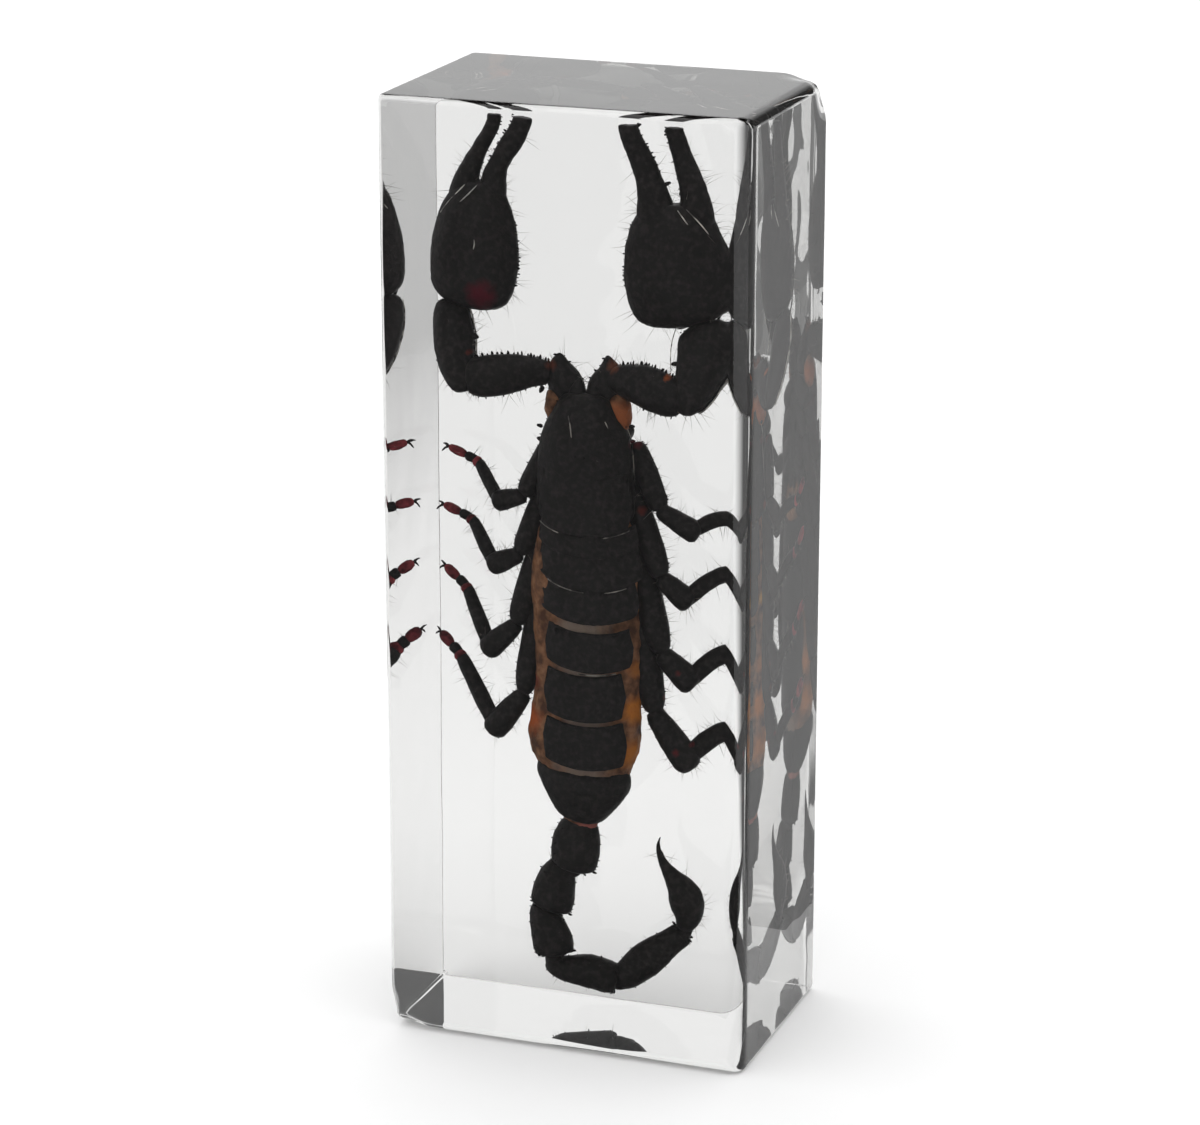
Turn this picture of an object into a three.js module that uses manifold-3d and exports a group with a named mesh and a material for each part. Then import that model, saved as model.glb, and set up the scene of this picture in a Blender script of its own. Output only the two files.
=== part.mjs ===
// A dried scorpion sealed in a clear cast-resin block.
// Millimetres, +Z up. The block stands on its small end with the origin under its middle,
// its front face towards -Y. The scorpion hangs head up with its back to the front face.
import * as THREE from 'three';
import { mergeVertices } from 'three/addons/utils/BufferGeometryUtils.js';
import { RoundedBoxGeometry } from 'three/addons/geometries/RoundedBoxGeometry.js';
import Module from 'manifold-3d';

const wasm = await Module();
wasm.setup();

// From the front face into the block.
const INWARD = new THREE.Vector3(0, 1, 0);

// ---- Driving dimensions -------------------------------------------------------------------

const BLOCK = { width: 43, depth: 28, height: 110, edgeRadius: 1.3, edgeSteps: 2 };

// The casting is parted in two on an upright plane through the specimen.
const PARTING = { y: 4.6, gap: 0.3 };

// Room left around the specimen in its pocket, wall to wall.
const POCKET_CLEARANCE = 0.35;

// A station is [x, y, z, half width, half thickness]; a run of stations makes one segment.

const CARAPACE = [
  [-1.2, 4.5, 76.0, 3.3, 2.0],
  [-1.2, 4.4, 74.5, 5.0, 3.2],
  [-1.2, 4.4, 71.0, 5.35, 3.8],
  [-1.4, 4.5, 66.5, 5.6, 4.0],
  [-1.1, 4.6, 62.5, 5.8, 4.1],
  [-1.1, 4.6, 60.2, 5.8, 3.9],
];

const SOFT_BODY = [
  [-1.1, 5.2, 61.0, 5.4, 2.9],
  [-1.5, 5.3, 53.4, 6.6, 3.3],
  [-1.1, 5.3, 49.0, 6.5, 3.4],
  [-0.9, 5.3, 44.0, 6.6, 3.4],
  [-1.0, 5.3, 38.2, 6.4, 3.3],
  [-1.7, 5.4, 34.0, 6.8, 3.1],
  [-1.5, 5.5, 31.0, 5.8, 3.0],
];

// The plates of the back: the heights of their top and bottom edges, middle and half width.
const BACK_PLATES = [
  { top: 59.6, bottom: 56.6, x: -1.05, half: 5.8 },
  { top: 56.6, bottom: 52.8, x: -1.15, half: 5.9 },
  { top: 52.7, bottom: 49.0, x: -1.1, half: 5.5 },
  { top: 48.0, bottom: 43.1, x: -0.85, half: 5.1 },
  { top: 42.8, bottom: 37.3, x: -1.3, half: 4.9 },
  { top: 37.0, bottom: 31.4, x: -1.3, half: 5.1 },
];
const BACK_PLATE = { y: 4.55, thickness: 4.0, lap: 0.35 };

const LAST_PLATE = [
  [-1.35, 5.0, 30.6, 5.6, 3.7],
  [-1.6, 5.2, 29.2, 5.6, 3.6],
  [-1.9, 5.5, 27.1, 4.6, 3.2],
  [-2.0, 5.8, 25.2, 3.4, 2.8],
  [-2.1, 6.0, 23.7, 2.3, 2.2],
];

// The jaws and the combs are paired: their x is measured from the middle of the head.
const HEAD_AXIS_X = -1.2;

const JAW = [
  [1.4, 4.6, 73.5, 1.0, 1.2],
  [1.2, 4.4, 75.6, 1.15, 1.2],
  [0.9, 4.6, 77.1, 0.45, 0.5],
];

const COMB = [
  [1.0, 8.2, 61.5, 0.6, 0.5],
  [2.6, 8.6, 60.4, 0.8, 0.45],
  [4.3, 8.4, 58.6, 0.45, 0.3],
];

const LEFT_PINCER = {
  arm: [
    [-3.0, 6.4, 73.4, 1.6, 1.5],
    [-3.5, 5.8, 75.6, 1.8, 1.8],
    [-5.6, 5.3, 76.7, 2.2, 2.0],
    [-7.6, 5.0, 77.1, 1.5, 1.5],
    [-10.6, 4.8, 76.7, 2.2, 2.0],
    [-13.6, 4.7, 76.1, 2.4, 2.1],
    [-16.1, 4.7, 75.9, 1.9, 1.7],
  ],
  forearm: [
    [-16.0, 4.6, 75.0, 1.6, 1.7],
    [-16.8, 4.5, 77.3, 2.2, 2.1],
    [-17.0, 4.6, 80.6, 2.6, 2.2],
    [-17.5, 4.7, 83.1, 2.1, 1.9],
    [-17.2, 4.8, 84.9, 1.6, 1.4],
  ],
  hand: [
    [-15.1, 4.6, 84.4, 2.2, 1.8],
    [-15.1, 4.5, 85.5, 4.1, 2.5],
    [-14.6, 4.3, 88.2, 5.2, 3.1],
    [-14.4, 4.2, 91.8, 5.15, 3.2],
    [-14.2, 4.2, 95.4, 4.35, 2.8],
    [-14.1, 4.3, 98.0, 3.3, 2.2],
    [-13.8, 4.4, 99.5, 2.5, 1.6],
  ],
  movableFinger: [
    [-15.7, 4.4, 97.4, 1.6, 1.5],
    [-15.1, 4.5, 99.9, 1.25, 1.25],
    [-14.2, 4.6, 101.9, 0.95, 1.0],
    [-12.6, 4.8, 105.2, 0.85, 0.9],
    [-12.2, 4.9, 107.9, 0.45, 0.5],
  ],
  fixedFinger: [
    [-12.3, 4.3, 97.8, 1.6, 1.5],
    [-11.9, 4.3, 100.2, 1.25, 1.3],
    [-10.8, 4.3, 102.3, 1.1, 1.15],
    [-9.0, 4.5, 105.2, 1.0, 1.05],
    [-8.7, 4.6, 107.8, 0.5, 0.55],
  ],
};

const RIGHT_PINCER = {
  arm: [
    [0.0, 6.4, 73.4, 1.6, 1.5],
    [0.6, 5.7, 76.0, 1.8, 1.8],
    [2.4, 5.1, 76.9, 1.7, 1.6],
    [4.2, 4.8, 76.9, 2.1, 1.9],
    [6.6, 4.7, 76.5, 2.6, 2.1],
    [10.1, 4.8, 75.3, 1.9, 1.7],
  ],
  forearm: [
    [10.1, 4.6, 75.2, 1.7, 1.7],
    [11.0, 4.5, 77.4, 2.5, 2.1],
    [12.3, 4.5, 80.6, 3.1, 2.2],
    [12.7, 4.7, 83.2, 2.9, 1.9],
    [12.1, 4.8, 84.9, 1.9, 1.4],
  ],
  hand: [
    [9.2, 4.6, 84.1, 2.4, 1.8],
    [9.5, 4.5, 85.3, 4.8, 2.6],
    [9.5, 4.3, 87.9, 6.2, 3.2],
    [9.5, 4.2, 91.4, 6.25, 3.3],
    [9.2, 4.2, 95.2, 5.2, 2.9],
    [9.1, 4.3, 97.4, 4.4, 2.3],
    [9.0, 4.4, 98.7, 3.7, 1.8],
  ],
  movableFinger: [
    [11.5, 4.4, 97.3, 1.8, 1.6],
    [11.1, 4.5, 99.5, 1.55, 1.35],
    [10.4, 4.6, 101.5, 1.3, 1.15],
    [9.2, 4.8, 104.8, 1.0, 0.95],
    [8.9, 4.9, 107.8, 0.45, 0.5],
  ],
  fixedFinger: [
    [7.2, 4.3, 97.2, 2.2, 1.7],
    [6.6, 4.3, 99.4, 1.75, 1.5],
    [5.7, 4.3, 101.4, 1.3, 1.25],
    [4.0, 4.5, 104.8, 1.15, 1.05],
    [3.6, 4.6, 107.8, 0.5, 0.55],
  ],
};

// The tail in two runs, pinched where its five segments meet, and the bulb with its sting.
const TAIL = [
  [
    [-2.2, 6.0, 24.4, 2.2, 2.1],
    [-2.7, 6.2, 22.1, 2.85, 2.5],
    [-3.2, 6.5, 19.2, 2.85, 2.5],
    [-4.0, 6.6, 17.6, 1.9, 1.8],
    [-5.0, 6.6, 16.4, 2.4, 2.3],
    [-6.0, 6.7, 13.6, 2.55, 2.4],
    [-6.8, 6.7, 12.1, 1.8, 1.7],
    [-6.8, 6.7, 10.8, 2.2, 2.2],
    [-6.0, 6.7, 8.0, 2.55, 2.4],
    [-5.2, 6.7, 5.6, 2.0, 1.9],
  ],
  [
    [-5.5, 6.7, 5.3, 1.7, 1.7],
    [-3.6, 6.8, 4.9, 2.1, 2.1],
    [0.2, 6.8, 4.6, 2.2, 2.2],
    [2.3, 6.8, 4.5, 1.7, 1.7],
    [4.2, 6.8, 5.7, 1.95, 2.0],
    [7.1, 6.7, 8.3, 2.05, 2.1],
    [9.4, 6.5, 10.6, 1.7, 1.7],
    [10.5, 6.4, 11.8, 1.2, 1.3],
  ],
];
const STING = [
  [10.5, 6.4, 11.7, 1.0, 1.1],
  [11.2, 6.3, 13.3, 1.7, 1.7],
  [11.1, 6.3, 15.1, 2.25, 2.2],
  [10.4, 6.3, 16.8, 1.95, 2.0],
  [9.1, 6.3, 18.2, 1.0, 1.2],
  [7.6, 6.3, 20.4, 0.45, 0.5],
  [7.4, 6.5, 22.8, 0.15, 0.15],
];

// Each leg runs through its joints: hip, knee, shin top, ankle, toe tip.
const LEGS = [
  {
    girth: 1.0,
    joints: [
      [-5.6, 7.3, 70.0], [-8.9, 4.7, 62.5], [-12.0, 5.2, 61.6],
      [-15.1, 7.8, 65.6], [-18.9, 8.5, 66.9],
    ],
  },
  {
    girth: 1.05,
    joints: [
      [-5.6, 7.3, 66.2], [-9.4, 4.7, 55.5], [-12.6, 5.2, 54.0],
      [-15.9, 7.8, 58.7], [-19.6, 8.6, 59.9],
    ],
  },
  {
    girth: 1.15,
    joints: [
      [-5.4, 7.4, 62.8], [-9.9, 4.8, 47.0], [-13.2, 5.2, 43.9],
      [-16.6, 7.9, 50.4], [-19.5, 8.7, 52.5],
    ],
  },
  {
    girth: 1.25,
    joints: [
      [-5.0, 7.5, 60.4], [-9.1, 5.2, 38.5], [-12.5, 5.3, 34.3],
      [-17.6, 8.0, 42.1], [-20.2, 8.8, 44.4],
    ],
  },
  {
    girth: 1.1,
    joints: [
      [4.2, 6.6, 69.6], [7.6, 4.8, 62.4], [11.4, 5.2, 60.3],
      [16.8, 7.8, 61.9], [19.7, 8.5, 64.6],
    ],
  },
  {
    girth: 1.2,
    joints: [
      [3.0, 7.3, 65.8], [7.8, 4.8, 54.4], [10.7, 5.2, 52.1],
      [16.2, 7.9, 55.8], [19.8, 8.6, 58.7],
    ],
  },
  {
    girth: 1.35,
    joints: [
      [2.8, 7.4, 62.4], [7.9, 4.9, 45.4], [11.1, 5.3, 42.5],
      [16.4, 8.0, 46.6], [19.8, 8.7, 49.8],
    ],
  },
  {
    girth: 1.45,
    joints: [
      [2.6, 7.5, 60.0], [7.0, 5.3, 38.0], [10.8, 5.3, 33.0],
      [16.4, 8.0, 37.3], [19.9, 8.8, 40.4],
    ],
  },
];

// The knee piece runs on past the top of the shin, by this much of its length.
const KNEE_OVERHANG = 0.2;

// Radii along a leg's thigh and knee piece, and along its shin and foot, before its girth.
const THIGH_RADII = [1.2, 1.3, 1.05, 1.25, 1.15];
const SHIN_RADII = [0.75, 0.75, 0.5, 0.42, 0.2];

// Thorns that stand out from the outline: foot, direction, height.
const THORNS = [
  { foot: [-14.6, 4.4, 80.9], way: [1, 0, 0.2], height: 1.0 },
  { foot: [-6.8, 5.0, 75.4], way: [-0.6, 0, -1], height: 0.8 },
  { foot: [-4.5, 4.8, 78.2], way: [0.1, 0, 1], height: 1.2 },
  { foot: [1.4, 4.8, 78.2], way: [-0.1, 0, 1], height: 1.2 },
  { foot: [-1.6, 4.4, 19.8], way: [1, -1, -0.6], height: 1.1 },
  { foot: [-4.7, 4.6, 14.0], way: [1, -1, -0.6], height: 1.1 },
];
const THORN_RADIUS = 0.5;

// How many sides each kind of segment has, on the specimen and on its pocket's coarser walls.
const SPECIMEN = { body: 12, limb: 8, finger: 6, leg: 5, thorn: 4, swell: 0 };
const POCKET = { body: 8, limb: 6, finger: 4, leg: 4, thorn: 3, swell: POCKET_CLEARANCE };

// ---- Solids -------------------------------------------------------------------------------

/** A three.js geometry as a manifold solid. */
function solidOf(geometry) {
  geometry.deleteAttribute('normal');
  geometry.deleteAttribute('uv');
  const merged = mergeVertices(geometry);
  return new wasm.Manifold(new wasm.Mesh({
    numProp: 3,
    vertProperties: merged.attributes.position.array,
    triVerts: Uint32Array.from(merged.index.array),
  }));
}

/** A manifold solid as a three.js geometry. */
function geometryOf(solid) {
  const { vertProperties, triVerts } = solid.getMesh();
  const geometry = new THREE.BufferGeometry();
  geometry.setAttribute('position', new THREE.BufferAttribute(vertProperties, 3));
  geometry.setIndex(new THREE.BufferAttribute(triVerts, 1));
  geometry.computeVertexNormals();
  return geometry;
}

/** All the given solids joined in one. */
function joined(solids) {
  return solids.reduce((whole, next) => whole.add(next));
}

/**
 * A closed solid through a run of stations: a cylinder whose rings are moved to the stations
 * and given their half width, across the run, and half thickness, towards the back face.
 * A swollen one lies around the plain one, with at least that much room between their faces.
 */
function segment(stations, sides, swell) {
  const steps = stations.length - 1;
  const centres = stations.map(([x, y, z]) => new THREE.Vector3(x, y, z));
  const cornerReach = swell > 0 ? 1 / Math.cos(Math.PI / sides) : 1;
  const rings = stations.map(([, , , wide, thick], i) => {
    const along = new THREE.Vector3()
      .subVectors(centres[Math.min(i + 1, steps)], centres[Math.max(i - 1, 0)])
      .normalize();
    const across = new THREE.Vector3().crossVectors(along, INWARD).normalize();
    const endwise = (i === steps ? swell : 0) - (i === 0 ? swell : 0);
    return {
      centre: centres[i].clone().addScaledVector(along, endwise),
      across: across.clone().multiplyScalar((wide + swell) * cornerReach),
      inward: along.clone().cross(across).multiplyScalar((thick + swell) * cornerReach),
    };
  });
  const geometry = new THREE.CylinderGeometry(1, 1, 1, sides, steps);
  const position = geometry.attributes.position;
  for (let i = 0; i < position.count; i += 1) {
    const { centre, across, inward } = rings[Math.round((0.5 - position.getY(i)) * steps)];
    const point = centre.clone()
      .addScaledVector(across, position.getX(i))
      .addScaledVector(inward, position.getZ(i));
    position.setXYZ(i, point.x, point.y, point.z);
  }
  return solidOf(geometry);
}

/** Stations given from the middle line outwards, on the right side and on the left. */
function bothSides(stations, axisX) {
  return [1, -1].map((side) => stations.map(([x, ...rest]) => [axisX + side * x, ...rest]));
}

// ---- The specimen -------------------------------------------------------------------------

/** The carapace and the plates down to the tail. Each plate laps over the next one's top. */
function back({ body, swell }) {
  const { y, thickness, lap } = BACK_PLATE;
  const plates = BACK_PLATES.flatMap(({ top, bottom, x, half }) => {
    const lower = [x, y, bottom, half, thickness];
    const upper = [x, y, top, half - lap, thickness - lap];
    return swell > 0 ? [lower] : [upper, lower];
  });
  return segment([...CARAPACE, ...plates, ...LAST_PLATE], body, swell);
}

/** Jaws ahead of the carapace and combs on the belly, a pair of each. */
function pairs({ leg, swell }) {
  return [JAW, COMB]
    .flatMap((stations) => bothSides(stations, HEAD_AXIS_X))
    .map((stations) => segment(stations, leg, swell));
}

/** A whole pincer: arm, forearm, and a hand with its two fingers. */
function pincer({ arm, forearm, hand, movableFinger, fixedFinger }, detail) {
  return [
    ...[arm, forearm, hand].map((run) => segment(run, detail.limb, detail.swell)),
    ...[movableFinger, fixedFinger].map((run) => segment(run, detail.finger, detail.swell)),
  ];
}

/** The tail, with the bulb that carries the sting. */
function tail({ limb, finger, swell }) {
  return [
    ...TAIL.map((stations) => segment(stations, limb, swell)),
    segment(STING, finger, swell),
  ];
}

/** Stations at the joints and half way between them, with the given radii. */
function limbStations(joints, radii, girth) {
  return radii.map((radius, i) => {
    const at = joints[Math.floor(i / 2)].clone().lerp(joints[Math.ceil(i / 2)], 0.5);
    return [...at.toArray(), radius * girth, radius * girth];
  });
}

/** One leg in two runs, which meet in the sharp bend at the top of its shin. */
function leg({ girth, joints }, detail) {
  const [hip, knee, shinTop, ankle, toeTip] = joints.map((joint) => new THREE.Vector3(...joint));
  const kneeEnd = knee.clone().lerp(shinTop, 1 + KNEE_OVERHANG);
  return [
    limbStations([hip, knee, kneeEnd], THIGH_RADII, girth),
    limbStations([shinTop, ankle, toeTip], SHIN_RADII, girth),
  ].map((run) => segment(run, detail.leg, detail.swell));
}

/** A pointed thorn rising from the skin. */
function thorn({ foot, way, height }, detail) {
  const along = new THREE.Vector3(...way).normalize();
  const root = new THREE.Vector3(...foot).addScaledVector(along, -THORN_RADIUS);
  const tip = new THREE.Vector3(...foot).addScaledVector(along, height);
  const stations = [
    [...root.toArray(), THORN_RADIUS, THORN_RADIUS],
    [...tip.toArray(), THORN_RADIUS / 4, THORN_RADIUS / 4],
  ];
  return segment(stations, detail.thorn, detail.swell);
}

/** The whole scorpion in one solid, or the pocket around it, at the given detail. */
function scorpion(detail) {
  return joined([
    back(detail),
    segment(SOFT_BODY, detail.body, detail.swell),
    ...pairs(detail),
    ...[LEFT_PINCER, RIGHT_PINCER].flatMap((sizes) => pincer(sizes, detail)),
    ...tail(detail),
    ...LEGS.flatMap((sizes) => leg(sizes, detail)),
    ...THORNS.map((sizes) => thorn(sizes, detail)),
  ]);
}

// ---- The block ----------------------------------------------------------------------------

/** The whole casting, with rounded edges. */
function casting() {
  const { width, depth, height, edgeRadius, edgeSteps } = BLOCK;
  const geometry = new RoundedBoxGeometry(width, height, depth, edgeSteps, edgeRadius);
  geometry.rotateX(Math.PI / 2);
  geometry.translate(0, 0, height / 2);
  return solidOf(geometry);
}

/** A slab across the whole block from one depth to another. */
function slab(yFrom, yTo) {
  const geometry = new THREE.BoxGeometry(2 * BLOCK.width, yTo - yFrom, 2 * BLOCK.height);
  geometry.translate(0, (yFrom + yTo) / 2, BLOCK.height / 2);
  return solidOf(geometry);
}

/** One half of the casting; slivers of resin that the pocket cuts loose are left out. */
function half(yFrom, yTo, hollow) {
  const pieces = casting().intersect(slab(yFrom, yTo)).subtract(hollow).decompose();
  return pieces.reduce((largest, next) => (next.volume() > largest.volume() ? next : largest));
}

// ---- Scene graph --------------------------------------------------------------------------

const resin = { color: 0xe9ecec, roughness: 0.03, metalness: 0 };
const cuticle = { color: 0x1c1a1b, roughness: 0.35, metalness: 0 };

/** A named mesh of one piece in its own material. */
function piece(name, solid, look) {
  const mesh = new THREE.Mesh(geometryOf(solid), new THREE.MeshStandardMaterial(look));
  mesh.name = name;
  return mesh;
}

const pocket = scorpion(POCKET);
const scorpionInResin = new THREE.Group();
scorpionInResin.add(
  piece('resin_front', half(-BLOCK.depth, PARTING.y - PARTING.gap / 2, pocket), resin),
  piece('resin_back', half(PARTING.y + PARTING.gap / 2, BLOCK.depth, pocket), resin),
  piece('scorpion', scorpion(SPECIMEN), cuticle),
);

export default scorpionInResin;
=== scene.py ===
"""A dried scorpion cast upright in a clear resin block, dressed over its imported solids.

Blender works in metres. The specimen's rings are written in millimetres, as a collector would
measure it, and MM turns them to metres.
"""

import logging
import math
from collections.abc import Iterable, Sequence
from dataclasses import dataclass, field
from enum import Enum

import bmesh
import bpy
from mathutils import Matrix, Vector


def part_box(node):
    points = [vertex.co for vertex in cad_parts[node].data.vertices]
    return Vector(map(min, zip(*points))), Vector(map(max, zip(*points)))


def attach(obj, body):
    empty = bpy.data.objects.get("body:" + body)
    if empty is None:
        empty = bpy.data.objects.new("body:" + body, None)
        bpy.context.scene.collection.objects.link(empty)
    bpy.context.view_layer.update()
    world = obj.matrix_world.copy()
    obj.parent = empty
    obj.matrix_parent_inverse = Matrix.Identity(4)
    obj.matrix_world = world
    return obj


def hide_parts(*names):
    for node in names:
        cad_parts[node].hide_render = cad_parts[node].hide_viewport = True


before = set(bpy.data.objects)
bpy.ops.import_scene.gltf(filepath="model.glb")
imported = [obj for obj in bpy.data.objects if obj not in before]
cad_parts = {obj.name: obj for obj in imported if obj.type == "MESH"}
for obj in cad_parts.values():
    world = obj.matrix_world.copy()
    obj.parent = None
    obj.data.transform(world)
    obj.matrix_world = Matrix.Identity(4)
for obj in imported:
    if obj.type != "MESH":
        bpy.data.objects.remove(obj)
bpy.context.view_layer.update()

log = logging.getLogger("scorpion_in_resin")

MM = 0.001
INWARD = Vector((0.0, 1.0, 0.0))

# The lumps of hard skin: their size in millimetres, and their share of the grain's height.
HARD_SKIN_GRAINS = ((1.1, 1.6), (0.35, 1.0))

# A joint's soft skin is a little flatter than it is wide. A dome rises by so many millimetres
# and ends in a ring of this share of the run's last one.
SLEEVE_THICKNESS = 0.9
DOME_RISE = 0.35
DOME_TIP = 0.45


# ---- Small tools ----------------------------------------------------------------------------


@dataclass(frozen=True)
class Ring:
    """One ring across a limb's run, in millimetres.

    Args:
        x, y, z: The middle of the ring.
        wide: Half its width, across the run and level with the front face.
        thick: Half its thickness, from the front of the block towards the back.
    """

    x: float
    y: float
    z: float
    wide: float
    thick: float

    @property
    def centre(self) -> Vector:
        """The middle of the ring, in metres."""
        return Vector((self.x, self.y, self.z)) * MM


def rings(*rows: Sequence[float]) -> list[Ring]:
    """Rings from rows of x, y, z, half width and half thickness."""
    return [Ring(*row) for row in rows]


class Side(Enum):
    """The two sides of the animal, as seen from the front of the block."""

    LEFT = -1
    RIGHT = 1

    @property
    def word(self) -> str:
        """The side's name in small letters."""
        return self.name.lower()


def linear(hex_colour: str) -> tuple[float, float, float, float]:
    """An sRGB hex colour as linear red, green, blue and alpha."""
    parts = [int(hex_colour[i : i + 2], 16) / 255 for i in (0, 2, 4)]
    return (*[p / 12.92 if p <= 0.04045 else ((p + 0.055) / 1.055) ** 2.4 for p in parts], 1.0)


def deselect() -> None:
    """Leave nothing selected."""
    bpy.ops.object.select_all(action="DESELECT")


def pick(piece: bpy.types.Object) -> None:
    """Select one object alone and make it active.

    Args:
        piece: The object.
    """
    deselect()
    piece.select_set(True)
    bpy.context.view_layer.objects.active = piece


def modify(piece: bpy.types.Object, kind: str, **settings: object) -> None:
    """Add a modifier with its settings and apply it.

    Args:
        piece: The object that is changed.
        kind: The modifier's type.
        settings: Its properties.
    """
    pick(piece)
    modifier = piece.modifiers.new(kind.title(), kind)
    for key, value in settings.items():
        setattr(modifier, key, value)
    bpy.ops.object.modifier_apply(modifier=modifier.name)


# ---- Modelling ------------------------------------------------------------------------------


def frames(run: Sequence[Ring], upright: bool = False) -> list[tuple[Vector, Matrix]]:
    """Where each ring of a run lies and how it is turned.

    Args:
        run: The rings in order.
        upright: Whether every ring lies level, as slices of an upright form do.

    Returns:
        Each ring's middle, and its axes: across, inward and along the run.
    """
    placed = []
    last = len(run) - 1
    for i, ring in enumerate(run):
        along = (run[min(i + 1, last)].centre - run[max(i - 1, 0)].centre).normalized()
        if upright:
            along = Vector((0.0, 0.0, 1.0))
        across = along.cross(INWARD).normalized()
        placed.append((ring.centre, Matrix((across, along.cross(across), along)).transposed()))
    return placed


def on_skin(ring: Ring, turn: Matrix, angle: float) -> tuple[Vector, Vector]:
    """A point on a ring and the way out of the skin there.

    Args:
        ring: The ring.
        turn: Its axes, from frames().
        angle: Degrees round the ring, 0 at the back of the block and 90 across, which is the
            left side of a run that goes up.

    Returns:
        The point, in metres, and the outward direction.
    """
    turned = math.radians(angle)
    out = Vector((math.sin(turned), -math.cos(turned), 0.0))
    flat = Vector((out.x * ring.wide, out.y * ring.thick, 0.0)) * MM
    return ring.centre + turn @ flat, (turn @ out).normalized()


def between(run: Sequence[Ring], share: float) -> tuple[Ring, Matrix]:
    """A ring part of the way along a run.

    Args:
        run: The rings in order.
        share: How far along it lies, from 0 to 1.

    Returns:
        The ring, and the axes of the given ring before it.
    """
    step = share * (len(run) - 1)
    i = min(int(step), len(run) - 2)
    sizes = zip(vars(run[i]).values(), vars(run[i + 1]).values())
    mixed = [a + (b - a) * (step - i) for a, b in sizes]
    return Ring(*mixed), frames(run)[i][1]


@dataclass(frozen=True)
class Row:
    """A row of blunt teeth along a run.

    Args:
        angle: Degrees round the run, as in on_skin().
        count: How many teeth.
        height: How far they stand out, in millimetres.
        start, end: The share of the run where the row starts and ends.
    """

    angle: float
    count: int
    height: float
    start: float = 0.08
    end: float = 0.92


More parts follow.
